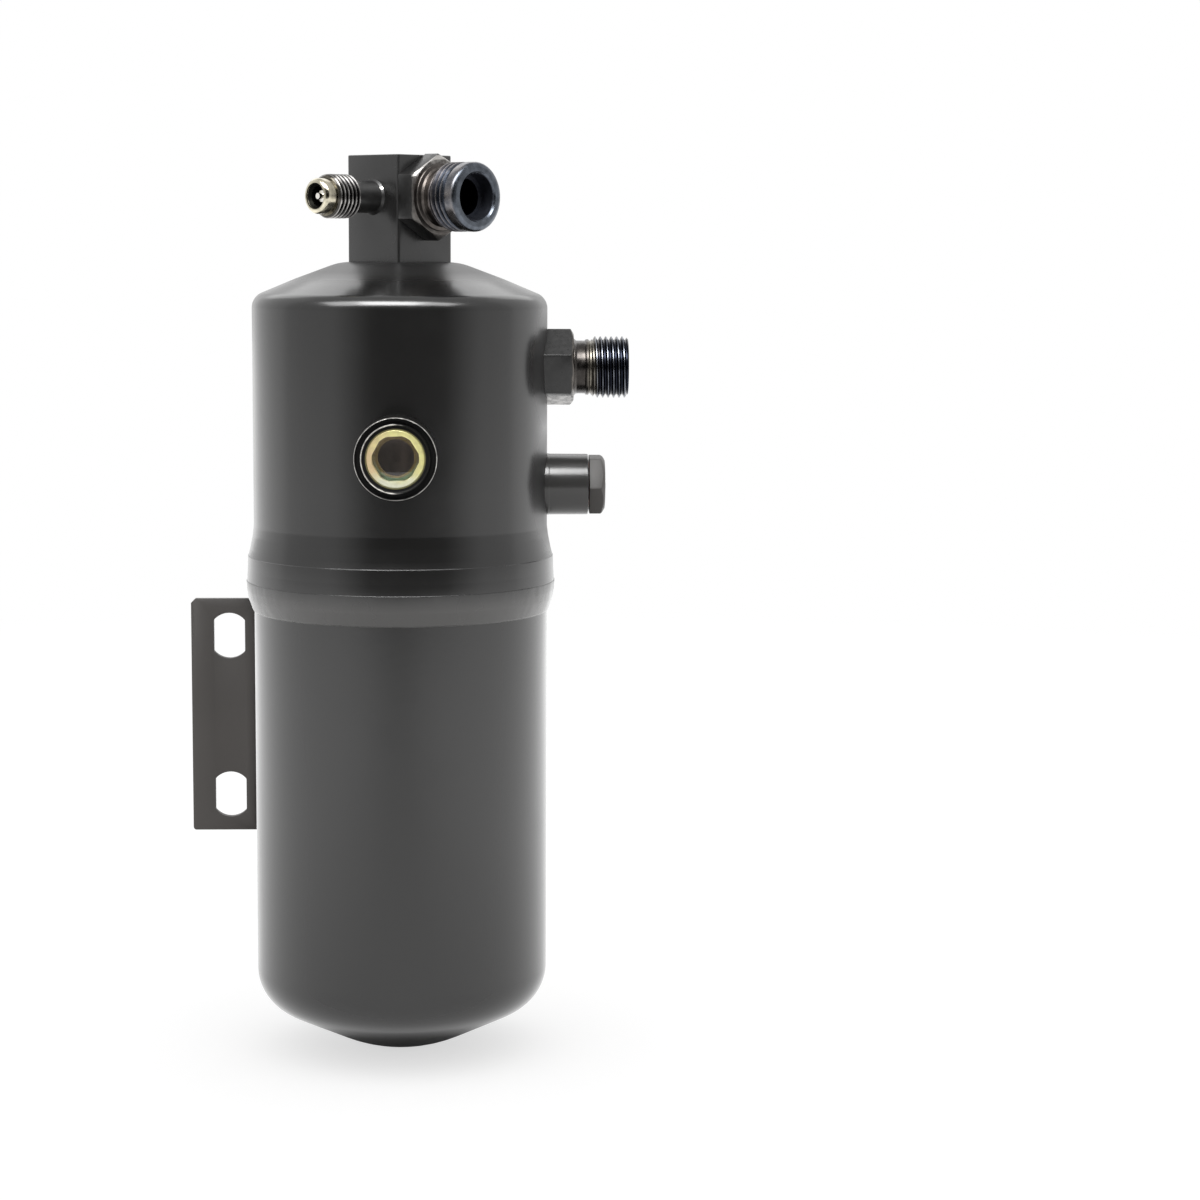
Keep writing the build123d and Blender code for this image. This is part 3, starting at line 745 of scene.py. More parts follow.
def makeOutlet():
    hexEnd = blockFace + outlet["hexLength"]
    neckEnd = hexEnd + outlet["neckLength"]
    end = neckEnd + outlet["threadLength"]
    neck = turned("neck", [(0, blockFace - outlet["spigotLength"]), (outlet["spigot"], blockFace - outlet["spigotLength"]),
                           (outlet["spigot"], hexEnd - 1), (8.6, hexEnd - 1), (8.6, hexEnd + 0.35, 0.3),
                           (outlet["neck"] + 0.3, hexEnd + 0.6, 0.3), (outlet["neck"], hexEnd + 1.2, 0.3),
                           (outlet["neck"], neckEnd - 1.3, 0.2), (outlet["neck"] + 0.45, neckEnd - 1.0, 0.2),
                           (outlet["neck"] + 0.45, neckEnd - 0.4, 0.2), (outlet["neck"], neckEnd, 0.2),
                           (outlet["neck"], neckEnd + 0.3), (0, neckEnd + 0.3)], 96, closed=False)
    head = hexHead(outlet["flats"], blockFace + 0.02, hexEnd, 1.6)
    # the last turns run out into a plain rounded nose
    plain = end - 4.0
    thread = threadedRod(outlet["thread"], outlet["pitch"], outlet["depth"], neckEnd, plain, 0.3, 0.9)
    nose = turned("nose", [(0, plain - 0.5), (outlet["thread"] - 0.55, plain - 0.5), (outlet["thread"] - 0.55, plain + 0.2, 0.2),
                           (outlet["thread"], plain + 0.8, 0.3), (outlet["thread"], end - 0.5, 1.2),
                           (outlet["thread"] - 1.2, end, 0.8), (0, end)], 96, closed=False)
    bores = [turned("bore", [(0, 0), (outlet["bore"], 0), (outlet["bore"], end - outlet["mouthDepth"]),
                             (outlet["mouth"], end - outlet["mouthDepth"]), (outlet["mouth"], end - 0.5),
                             (outlet["mouth"] + 0.5, end + 0.01), (outlet["mouth"] + 0.5, end + 1), (0, end + 1)],
                    80, closed=False)]
    piece = joinFitting("outletFitting", [head, neck, thread, nose], bores)
    return setPlace(piece, facing(frontRight, ports["blockHeight"], outlet["turn"]))


charge = {
    "neck": 4.1, "neckLength": 8.5, "thread": 5.56, "threadLength": 7.7, "pitch": 1.27, "depth": 0.72,
    "tip": 4.5, "tipLength": 3.4, "spigot": 4.0, "spigotLength": 4.5, "mouth": 3.2, "coreBore": 2.6,
    "passage": 1.6, "coreBoreDepth": 14.1, "chip": (-4.25, -9.6, 106.7),
}
chargeEnd = blockFace + charge["neckLength"] + charge["threadLength"] + charge["tipLength"]


def makeChargePort():
    neckEnd = blockFace + charge["neckLength"]
    threadEnd = neckEnd + charge["threadLength"]
    back = blockFace - charge["spigotLength"]
    neck = turned("neck", [(0, back), (charge["spigot"], back), (charge["spigot"], blockFace + 0.02),
                           (charge["neck"] + 0.5, blockFace + 0.02), (charge["neck"], blockFace + 0.6, 0.4),
                           (charge["neck"], neckEnd + 0.3), (0, neckEnd + 0.3)], 72, closed=False)
    thread = threadedRod(charge["thread"], charge["pitch"], charge["depth"], neckEnd, threadEnd, 0.6)
    tip = turned("tip", [(0, threadEnd - 0.4), (charge["tip"], threadEnd - 0.4), (charge["tip"], chargeEnd - 0.6, 1.2),
                         (charge["tip"] - 0.8, chargeEnd, 0.6), (0, chargeEnd)], 72, closed=False)
    coreFloor = chargeEnd - charge["coreBoreDepth"]
    bores = [turned("bore", [(0, 0), (charge["passage"], 0), (charge["passage"], coreFloor), (charge["coreBore"], coreFloor),
                             (charge["coreBore"], chargeEnd - 1.2), (charge["mouth"], chargeEnd - 0.4, 0.5),
                             (charge["mouth"] + 0.2, chargeEnd + 0.5), (0, chargeEnd + 0.5)], 64, closed=False)]
    piece = joinFitting("chargePort", [neck, thread, tip], bores)
    return setPlace(piece, facing(frontLeft, ports["blockHeight"]))


# the valve core's spring, which the pin's collar presses flat
coreSpring = {
    "radius": 1.19, "wire": 0.155, "turns": 3, "start": chargeEnd - 4.32, "end": chargeEnd - 3.30, "keep": 0.16,
}


def makeValveSpring():
    deselectAll()
    bpy.ops.mesh.primitive_circle_add(vertices=10, radius=coreSpring["wire"], rotation=(math.pi / 2, 0, 0),
                                      location=(coreSpring["radius"], 0, coreSpring["start"]))
    spring = bpy.context.object
    spring.name = "valveSpring"
    setPlace(spring, spring.matrix_world.copy())
    wind = spring.modifiers.new("wind", "SCREW")
    wind.axis = "Z"
    wind.angle = 2 * math.pi
    wind.screw_offset = (coreSpring["end"] - coreSpring["start"]) / coreSpring["turns"]
    wind.iterations = coreSpring["turns"]
    wind.steps = 32
    wind.render_steps = 32
    applyAll(spring)
    editAll(spring)
    bpy.ops.mesh.remove_doubles(threshold=0.0005)
    bpy.ops.mesh.select_all(action="SELECT")
    bpy.ops.mesh.fill_holes(sides=0)
    bpy.ops.mesh.select_all(action="SELECT")
    bpy.ops.mesh.normals_make_consistent(inside=False)
    editDone()
    return setPlace(spring, facing(frontLeft, ports["blockHeight"]))


inlet = {
    "flats": 17.46, "hexEnd": 44.9, "neck": 6.85, "neckEnd": 49.4, "thread": 7.94, "threadEnd": 59.0,
    "pitch": 1.411, "depth": 0.85, "bore": 4.2, "mouth": 5.4, "mouthDepth": 4.0, "spigot": 5.9, "turn": -20.0,
    "bareBelow": 6.9,
}


def saddle(piece):
    # cuts the back of a piece that points to +x or -y to the round of the shell
    deselectAll()
    bpy.ops.mesh.primitive_cylinder_add(vertices=256, radius=shells["radius"] + 0.02, depth=200, location=(0, 0, 50))
    cutter = bpy.context.object
    setPlace(cutter, cutter.matrix_world.copy())
    return combine(piece, cutter)


def makeInlet():
    place = facing(right, ports["inletHeight"])
    head = hexHead(inlet["flats"], 30, inlet["hexEnd"], 1.5, edge=0.45)
    saddle(setPlace(head, facing(right, ports["inletHeight"], inlet["turn"])))
    combine(head, setPlace(rod("hole", (inlet["bore"] + inlet["spigot"]) / 2, 30, 50, 80), place))
    neck = turned("neck", [(0, 35.4), (inlet["spigot"], 35.4), (inlet["spigot"], inlet["hexEnd"] - 1),
                           (inlet["neck"] + 0.5, inlet["hexEnd"] - 1), (inlet["neck"] + 0.5, inlet["hexEnd"] + 0.1),
                           (inlet["neck"], inlet["hexEnd"] + 0.7, 0.3), (inlet["neck"], inlet["neckEnd"] - 1.6, 0.2),
                           (inlet["neck"] + 0.35, inlet["neckEnd"] - 1.3, 0.2),
                           (inlet["neck"] + 0.35, inlet["neckEnd"] - 0.7, 0.2),
                           (inlet["neck"], inlet["neckEnd"] - 0.4, 0.2), (inlet["neck"], inlet["neckEnd"] + 0.3),
                           (0, inlet["neckEnd"] + 0.3)], 96, closed=False)
    thread = threadedRod(inlet["thread"], inlet["pitch"], inlet["depth"], inlet["neckEnd"], inlet["threadEnd"], 0.7, 0.9)
    end = inlet["threadEnd"]
    bores = [turned("bore", [(0, 30), (inlet["bore"], 30), (inlet["bore"], end - inlet["mouthDepth"]),
                             (inlet["mouth"], end - inlet["mouthDepth"]), (inlet["mouth"], end - 0.4),
                             (inlet["mouth"] + 0.4, end + 0.01), (inlet["mouth"] + 0.4, end + 1), (0, end + 1)],
                    80, closed=False)]
    stem = joinFitting("stem", [neck, thread], bores)
    return joinFitting("inletFitting", [head, setPlace(stem, place)], [])


relief = {
    "boss": 7.9, "bossEnd": 48.7, "ring": 8.02, "ringEnd": 38.4, "sleeve": 5.8, "threadRadius": 4.2,
    "flats": 14.29, "headStart": 49.05, "headEnd": 53.1, "shankStart": 40.5, "core": 1.6, "turn": 4.0,
}


def makeReliefBoss():
    place = facing(right, ports["reliefHeight"])
    boss = turned("reliefBoss", [(0, 30), (relief["ring"], 30), (relief["ring"], relief["ringEnd"], 0.35),
                                 (relief["boss"] + 0.05, relief["ringEnd"] + 0.25, 0.1),
                                 (relief["boss"], relief["bossEnd"], 0.25), (0, relief["bossEnd"])], 96, closed=False)
    saddle(setPlace(boss, place))
    sleeve = setPlace(rod("sleeve", relief["sleeve"], 35.4, 40), place)
    bore = setPlace(rod("bore", relief["threadRadius"] + 0.05, 30, 60), place)
    return joinFitting("reliefBoss", [boss, sleeve], [bore])


def makeReliefPlug():
    head = hexHead(relief["flats"], relief["headStart"], relief["headEnd"], 2.0, edge=0.55, rear=0.15)
    shank = rod("shank", relief["threadRadius"], relief["shankStart"], relief["headStart"] + 1)
    bore = rod("bore", relief["core"] + 0.02, 40, 60, 48)
    piece = joinFitting("reliefPlug", [head, shank], [bore])
    return setPlace(piece, facing(right, ports["reliefHeight"], relief["turn"]))


plug = {"flats": 14.29, "headLength": 4.5, "shank": 5.0, "shankLength": 5.0, "washer": 0.35}


def makeBlockPlug():
    start = blockFace + plug["washer"]
    head = hexHead(plug["flats"], start, start + plug["headLength"], 1.5, edge=0.25)
    shank = rod("shank", plug["shank"], blockFace - plug["shankLength"], start + 1)
    piece = joinFitting("blockPlug", [head, shank], [])
    return setPlace(piece, facing(rearRight, ports["blockHeight"]))


print("fittings")
hexEnd = blockFace + outlet["hexLength"]
outletEnd = hexEnd + outlet["neckLength"] + outlet["threadLength"]


def bareChamferHighlight(tree, place, along, away):
    # the outlet hex's chamfer is bare metal on its upper side only, where its light metal is a painted highlight
    # painted highlight: the bare patch is kept to the chamfer's upper side
    high = mathNode(tree, "MULTIPLY", below(tree, place, ports["blockHeight"] + 5.0), -1)
    front = mathNode(tree, "MINIMUM", mathNode(tree, "SUBTRACT", along, hexEnd - 0.8),
                     mathNode(tree, "SUBTRACT", hexEnd + 0.05, along))
    return mathNode(tree, "MINIMUM", high, front)


# the outlet's mouth is coloured dark and its bore nearly black inside, as painted shade
outletSteel = fittingMaterial("outlet steel", frontRight, ports["blockHeight"], [
    (blockFace - 4, black, 0, 0.36), (hexEnd - 0.75, black, 0, 0.36), (hexEnd - 0.5, (0.10, 0.095, 0.09), 1, 0.3),
    (hexEnd + 0.1, (0.062, 0.056, 0.052), 1, 0.34),
    (hexEnd + 2.6, (0.082, 0.070, 0.062), 1, 0.32), (hexEnd + 4.2, (0.07, 0.066, 0.070), 1, 0.3),
    (hexEnd + 6.5, (0.035, 0.040, 0.052), 1, 0.28), (outletEnd - 1.2, (0.055, 0.062, 0.075), 1, 0.25),
    (outletEnd + 0.1, (0.078, 0.087, 0.101), 1, 0.24),
], {"radius": outlet["thread"], "depth": 0.35, "amount": 0.5, "colour": (0.20, 0.18, 0.17), "start": hexEnd + 3.5},
    bareChamferHighlight, 0.1, ((outlet["mouth"] + 0.15, 0, (0.036, 0.039, 0.048)), (outlet["bore"] + 0.15, 0, (0.002, 0.002, 0.003))),
    gloss=0.25, bareMetal=(0.34, 0.33, 0.315))
chargeNeckEnd = blockFace + charge["neckLength"]
# the port's mouth is coloured nearly black inside, as painted shade
chargeSteel = fittingMaterial("charge port steel", frontLeft, ports["blockHeight"], [
    (blockFace - 5, black, 0, 0.36), (chargeNeckEnd - 0.3, black, 0, 0.36),
    (chargeNeckEnd + 0.2, (0.020, 0.019, 0.020), 1, 0.3), (chargeNeckEnd + 2.0, (0.018, 0.017, 0.018), 1, 0.22),
    (chargeNeckEnd + 5.0, (0.022, 0.021, 0.021), 1, 0.2), (chargeNeckEnd + 7.4, (0.045, 0.042, 0.038), 1, 0.18),
    (chargeNeckEnd + 8.2, (0.30, 0.275, 0.215), 1, 0.16), (chargeEnd, (0.44, 0.41, 0.32), 1, 0.14),
], {"radius": charge["thread"], "depth": 0.28, "amount": 0.85, "colour": (0.42, 0.41, 0.395), "start": chargeNeckEnd},
    lambda tree, place, along, away: nearPoint(tree, place, charge["chip"], 0.6),
    bores=((charge["mouth"] + 0.05, 0, (0.006, 0.006, 0.005)),))
inletSteel = fittingMaterial("inlet steel", right, ports["inletHeight"], [
    (34, black, 0, 0.3), (inlet["hexEnd"] - 0.7, black, 0, 0.3), (inlet["hexEnd"] - 0.4, (0.10, 0.092, 0.085), 1, 0.3),
    (inlet["hexEnd"] + 0.6, (0.036, 0.033, 0.031), 1, 0.26), (inlet["neckEnd"] - 1.2, (0.042, 0.038, 0.035), 1, 0.26),
    (inlet["neckEnd"] - 0.2, (0.13, 0.12, 0.10), 1, 0.28), (inlet["neckEnd"] + 1.2, (0.09, 0.084, 0.075), 1, 0.28),
    (inlet["neckEnd"] + 2.0, (0.010, 0.011, 0.016), 1, 0.28), (inlet["threadEnd"], (0.012, 0.014, 0.021), 1, 0.26),
], {"radius": inlet["thread"], "depth": 0.16, "amount": 0.8, "colour": (0.20, 0.215, 0.245), "start": inlet["neckEnd"]},
    lambda tree, place, along, away: mathNode(
        tree, "MINIMUM", below(tree, place, ports["inletHeight"] - inlet["bareBelow"]),
        mathNode(tree, "SUBTRACT", inlet["hexEnd"] - 0.3, along)), dull=(0.10, 0.097, 0.094), gloss=0.38, bareMetal=(0.27, 0.262, 0.255))
outletFitting = finishPiece(makeOutlet(), outletSteel, ["outlet_fitting"], 35)
chargePort = finishPiece(makeChargePort(), chargeSteel, ["charge_port"], 35)
inletFitting = finishPiece(makeInlet(), inletSteel, ["inlet_fitting"], 35)
valveSpring = finishPiece(makeValveSpring(), springSteel, ["valve_spring"], 40)
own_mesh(valveSpring)
bossPaint = paintMaterial("relief boss paint", (0.052, 0.051, 0.050), (0.063, 0.061, 0.059), (0.18, 0.24), 0.36)
reliefPaint = paintMaterial("relief plug paint", (0.090, 0.086, 0.083), (0.128, 0.122, 0.116), (0.34, 0.46), 0.1)
reliefBoss = finishPiece(makeReliefBoss(), bossPaint, ["relief_boss"], 35)
reliefPlug = finishPiece(makeReliefPlug(), reliefPaint, ["relief_plug"], 35)
blockPlug = finishPiece(makeBlockPlug(), blockPaint, ["block_plug"], 35)

# sight glass

glass = {
    "boss": 10.2, "bossEnd": 50.1, "step": 8.2, "stepDepth": 0.9, "thread": 7.2, "seat": 42.6, "window": 4.4,
    "sealWire": 0.8, "lens": 2.6, "ringFlats": 11.0, "ringCorner": 5.8, "ringLength": 3.2, "ringTurn": 2.0,
    "keyRound": 1.3, "groove": (8.62, 9.85), "grooveDepth": 1.3,
}


def makeGlassBoss():
    place = facing(front, ports["glassHeight"])
    end = glass["bossEnd"]
    boss = turned("sightGlassBoss", [(0, 20), (glass["boss"], 20), (glass["boss"], end, 0.45), (0, end)],
                  128, closed=False)
    saddle(setPlace(boss, place))
    spigot = rod("spigot", glass["thread"], 35.4, 41)
    bores = [turned("bore", [(0, 20), (glass["window"], 20), (glass["window"], glass["seat"]), (glass["thread"], glass["seat"]),
                             (glass["thread"], end - glass["stepDepth"]), (glass["step"] - 0.2, end - glass["stepDepth"]),
                             (glass["step"], end - glass["stepDepth"] + 0.2), (glass["step"], end - 0.2),
                             (glass["step"] + 0.2, end + 0.05), (glass["step"] + 0.2, end + 1), (0, end + 1)],
                    120, closed=False),
             turned("groove", [(glass["groove"][0], end - glass["grooveDepth"], 0.3), (glass["groove"][1], end - glass["grooveDepth"], 0.3),
                               (glass["groove"][1], end - 0.15), (glass["groove"][1] + 0.15, end + 0.05), (glass["groove"][1], end + 1),
                               (glass["groove"][0], end + 1), (glass["groove"][0] - 0.15, end + 0.05), (glass["groove"][0], end - 0.15)],
                    128)]
    return joinFitting("sightGlassBoss", [boss, setPlace(spigot, place)], [setPlace(bore, place) for bore in bores])


def makeGlassRing():
    start = glass["seat"] + glass["sealWire"] + glass["lens"] + 0.06
    end = start + glass["ringLength"]
    radius = glass["thread"] - 0.05
    ring = turned("sightGlassRing", [(0, start), (radius, start), (radius, end, 0.35), (0, end)], 128, closed=False)
    deselectAll()
    bpy.ops.mesh.primitive_cylinder_add(vertices=6, radius=glass["ringFlats"] / math.sqrt(3), depth=8,
                                        location=(0, 0, start + 2))
    key = bpy.context.object
    setPlace(key, key.matrix_world.copy())
    setPlace(key, Matrix.Rotation(math.radians(30 + glass["ringTurn"]), 4, "Z"))
    combine(key, rod("corner", glass["ringCorner"], start - 1, start + 5), "INTERSECT")
    softenEdges(key, glass["keyRound"], 5, 20)
    combine(ring, key)
    closeUp(ring, 0.002)
    softenEdges(ring, 0.22, 3, 50)
    closeUp(ring, 0.003)
    return setPlace(ring, facing(front, ports["glassHeight"]))


def makeLens():
    start = glass["seat"] + glass["sealWire"] + 0.02
    end = start + glass["lens"]
    radius = glass["thread"] - 0.15
    lens = turned("sightGlassLens", [(0, start), (radius, start, 0.2), (radius, end, 0.2), (0, end)], 96, closed=False)
    return setPlace(lens, facing(front, ports["glassHeight"]))


def glassMaterial():
    material, tree, shader, place = newMaterial("sight glass")
    shader.inputs["Base Color"].default_value = (0.80, 0.71, 0.64, 1)
    shader.inputs["Transmission Weight"].default_value = 1
    shader.inputs["IOR"].default_value = 1.5
    shader.inputs["Specular IOR Level"].default_value = 0.2
    tree.links.new(spread(tree, noise(tree, place, 300, 2), 0.3, 0.7, 0.0, 0.02), shader.inputs["Roughness"])
    return material


def goldMaterial():
    # dull yellow plating, rosier to the left and paler at the bottom
    material, tree, shader, place = newMaterial("gold ring")
    shader.inputs["Metallic"].default_value = 0.1
    shader.inputs["Roughness"].default_value = 0.3
    split = tree.nodes.new("ShaderNodeSeparateXYZ")
    tree.links.new(place, split.inputs[0])
    blotch = spread(tree, noise(tree, place, 180, 2), 0.3, 0.7, -2, 2)
    across = mathNode(tree, "ADD", mathNode(tree, "MULTIPLY", split.outputs["X"], 1000), blotch)
    rosy = spread(tree, across, axisX * 1000 - 6.5, axisX * 1000 - 1.5, 1, 0)
    pale = spread(tree, mathNode(tree, "ADD", below(tree, place, ports["glassHeight"]), blotch), 2, 6.5, 0, 1)
    colour = mixColour(tree, rosy, (1.0, 0.94, 0.40), (0.92, 0.71, 0.40))
    colour = mixColour(tree, pale, colour, (1.0, 1.0, 0.76))
    grain = spread(tree, noise(tree, place, 900, 3), 0.3, 0.7, 0.9, 1.05)
    tree.links.new(mixColour(tree, 1.0, colour, grain, "MULTIPLY"), shader.inputs["Base Color"])
    bumpNode(tree, shader, noise(tree, place, 1200, 2), 0.3, 0.000004)
    return material


print("sight glass")
goldRing = goldMaterial()


def bareRimsAndHighlight(tree, place, along, away):
    # bare metal on the outer lip of the boss's front, and on the left of the inner one, where the bare metal is a
    # painted highlight
    split = tree.nodes.new("ShaderNodeSeparateXYZ")
    tree.links.new(place, split.inputs[0])
    # painted highlight: the inner lip is bare on its left side only
    paintedLeftHighlight = spread(tree, split.outputs["X"], axisX - 0.001, axisX + 0.008, 0.24, -0.3)
    rims = []
    for radius, half in ((glass["groove"][0] - 0.2, paintedLeftHighlight), (glass["boss"], 0.26)):
        gap = mathNode(tree, "ABSOLUTE", mathNode(tree, "SUBTRACT", away, radius))
        rims.append(mathNode(tree, "SUBTRACT", half, gap))
    front = mathNode(tree, "SUBTRACT", along, glass["bossEnd"] - 0.4)
    return mathNode(tree, "MINIMUM", mathNode(tree, "MAXIMUM", *rims), front)


# the boss's front face, groove and step are coloured nearly black, as painted shade; the seat within is olive
glassBossSteel = fittingMaterial("glass boss steel", front, ports["glassHeight"], [
    (34, black, 0, 0.34), (glass["bossEnd"] + 1, black, 0, 0.3),
], None, bareRimsAndHighlight, 0.06, ((glass["boss"] - 0.2, 46, (0.003, 0.003, 0.003)), (glass["thread"] + 0.2, 40, (0.27, 0.25, 0.11))),
    gloss=0.12)
sightGlassBoss = finishPiece(makeGlassBoss(), glassBossSteel, ["sight_glass_boss"], 35)
sightGlassRing = finishPiece(makeGlassRing(), goldRing, ["sight_glass_ring"], 35)
sightGlassLens = finishPiece(makeLens(), glassMaterial(), ["sight_glass_lens"], 35)

# folded bracket

bracket = {
    "sheet": 2.0, "reach": 54.65, "top": 0.5, "bottom": -60.7, "wrap": 38.0, "legTop": -3.0, "bend": 0.5,
    "slotX": -44.75, "slotWidth": 8.1, "slotLength": 12.0, "slotEnd": 5.25, "slotSpacing": 42.0,
    "slotMiddle": -30.2, "clearX": 1.7, "clearZ": 2.6, "topCorner": 1.1, "edge": 0.22,
}


def boxCutter(low, high):
    deselectAll()
    bpy.ops.mesh.primitive_cube_add(size=1, location=[(a + b) / 2 for a, b in zip(low, high)])
    cutter = bpy.context.object
    cutter.scale = [b - a for a, b in zip(low, high)]
    bpy.ops.object.transform_apply(location=True, rotation=True, scale=True)
    return cutter


def plateCutter(points):
    # a prism through the flange, from its outline in the xz plane
    cutter = drawLine("cutter", points + points[:1])
    editAll(cutter)
    bpy.ops.mesh.remove_doubles(threshold=0.0005)
    bpy.ops.mesh.edge_face_add()
    bpy.ops.mesh.extrude_region_move(TRANSFORM_OT_translate={"value": (0, 10, 0)})
    bpy.ops.mesh.normals_make_consistent(inside=False)
    editDone()
    return setPlace(cutter, Matrix.Translation((0, -5, 0)))


def slotOutline(middle):
    # straight sides and flattened round ends
    half = bracket["slotWidth"] / 2
    radius = bracket["slotEnd"]
    reach = bracket["slotLength"] / 2
    swing = math.degrees(math.asin(half / radius))
    points = []
    for sign in (1, -1):
        arc = arcPoints((0, reach - radius), radius, swing, -swing, 12)
        for index, (x, z) in enumerate(arc):
            rounding = (0.5,) if index in (0, 12) else ()
            points.append((bracket["slotX"] + sign * x, middle + sign * z) + rounding)
    return softLine(points)


def makeBracket():
    inner = shells["radius"] + 0.05
    outer = inner + bracket["sheet"]
    half = bracket["sheet"] / 2
    wrap = bracket["wrap"]
    shellSide = []
    backSide = []
    lowest = math.degrees(math.asin(half / inner))
    for step in range(25):
        angle = math.radians(180 + lowest - (wrap + lowest) * step / 24)
        shellSide.append((inner * math.cos(angle), inner * math.sin(angle)))
    bendAngle = math.degrees(math.asin((half + 0.35) / outer))
    for step in range(21):
        angle = math.radians(180 - wrap + (wrap - bendAngle) * step / 20)
        backSide.append((outer * math.cos(angle), outer * math.sin(angle)))
    outline = ([(-bracket["reach"], half), (-bracket["reach"], -half)] + shellSide + backSide
               + [(-outer - 0.12, half + 0.08), (-outer - 0.45, half)])
    sheet = drawLine("mountingBracket", outline + outline[:1])
    editAll(sheet)
    bpy.ops.mesh.remove_doubles(threshold=0.0005)
    bpy.ops.mesh.edge_face_add()
    bpy.ops.mesh.extrude_region_move(TRANSFORM_OT_translate={"value": (0, bracket["top"] - bracket["bottom"], 0)})
    editDone()
    # the outline was drawn in the xz plane, so it is tipped forward to lie flat
    setPlace(sheet, Matrix(((1, 0, 0, 0), (0, 0, 1, 0), (0, 1, 0, bracket["bottom"]), (0, 0, 0, 1))))
    closeUp(sheet)
    combine(sheet, boxCutter((-60, half + 0.001, bracket["legTop"]), (0, 60, 10)))
    left = -bracket["reach"]
    top = bracket["top"]
    slant = bracket["topCorner"]
    combine(sheet, plateCutter([(left - 1, top - slant - 1), (left + slant + 1, top + 1), (left - 1, top + 1)]))
    combine(sheet, plateCutter([(-inner - bracket["clearX"], top + 1), (-inner - bracket["clearX"], top),
                                (-inner - 0.75, top - 2), (-inner - 0.75, top - bracket["clearZ"]),
                                (-inner + 3, top - bracket["clearZ"]), (-inner + 3, top + 1)]))
    selectEdges(sheet, lambda middle, way: abs(way.y) > 0.9 and middle.x < -bracket["reach"] + 0.1
                and middle.z < bracket["bottom"] + 0.1)
    bpy.ops.mesh.bevel(offset=0.8, segments=4, affect="EDGES")
    editDone()
    for sign in (-1, 1):
        combine(sheet, plateCutter(slotOutline(bracket["slotMiddle"] + sign * bracket["slotSpacing"] / 2)))
    closeUp(sheet, 0.002)
    return softenEdges(sheet, bracket["edge"], 2, 40)


print("bracket")
mountingBracket = finishPiece(makeBracket(), bracketPaint, ["mounting_bracket"], 35)
# the gloss beside the bracket stays plain, as in the photo
mountingBracket.visible_glossy = False

# the inner pieces and small CAD pieces keep their solids and get their finish here
finishes = {
    "valve_core_body": coreMetal, "valve_pin": pinMetal, "valve_seal": rubber, "valve_spring": springSteel,
    "block_plug_seal": washerMaterial("block_plug_seal", rearRight, ports["blockHeight"]),
    "relief_plug_seal": washerMaterial("relief_plug_seal", right, ports["reliefHeight"]),
    "fusible_core": solder, "sight_glass_seal": sealMaterial(),
    "pickup_tube": bareSteel, "pickup_strainer": bareSteel, "lower_plate": bareSteel, "upper_plate": bareSteel,
    "lower_filter_pad": felt, "upper_filter_pad": felt, "desiccant_bed": beads, "retaining_spring": springSteel,
    "upper_shell": shellPaint, "lower_shell": shellPaint, "seam_weld": weldPaint, "header_block": blockPaint,
    "outlet_fitting": outletSteel, "charge_port": chargeSteel, "inlet_fitting": inletSteel,
    "relief_boss": bossPaint, "relief_plug": reliefPaint, "block_plug": blockPaint,
    "sight_glass_boss": glassBossSteel, "sight_glass_ring": goldRing, "sight_glass_lens": sightGlassLens.data.materials[0],
    "mounting_bracket": bracketPaint,
}
for name, material in finishes.items():
    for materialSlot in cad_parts[name].material_slots:
        materialSlot.material = material

# floor, card, lamps and world

studio = {
    "floorRadius": 6.0, "floorColour": 0.45, "floorGlow": 0.62, "shine": 1.05, "farShine": 0.45, "sideShine": 0.5,
    "shineFrom": 0.015, "shineTo": 0.030, "cardDistance": 1.02, "cardWidth": 4.4, "cardHeight": 1.6,
    "cardTurn": 7.5, "cardDark": 28.0, "cardClear": 58.0,
}
# softboxes: place about the vessel, size, brightness
lamps = {
    "leftBox": ((-0.87, 0.68, 0.65), 1.3, 1.6, 0.3), "rightBox": ((0.87, 0.68, 0.65), 1.3, 1.6, 0.3),
    "backBox": ((0.0, 1.3, 1.2), 2.4, 0.9, 1.2),
    "frontBox": ((-0.11, -0.75, 1.10), 0.85, 0.5, 24.0), "frontWideBox": ((-0.11, -0.75, 1.10), 2.3, 0.7, 9.0),
}


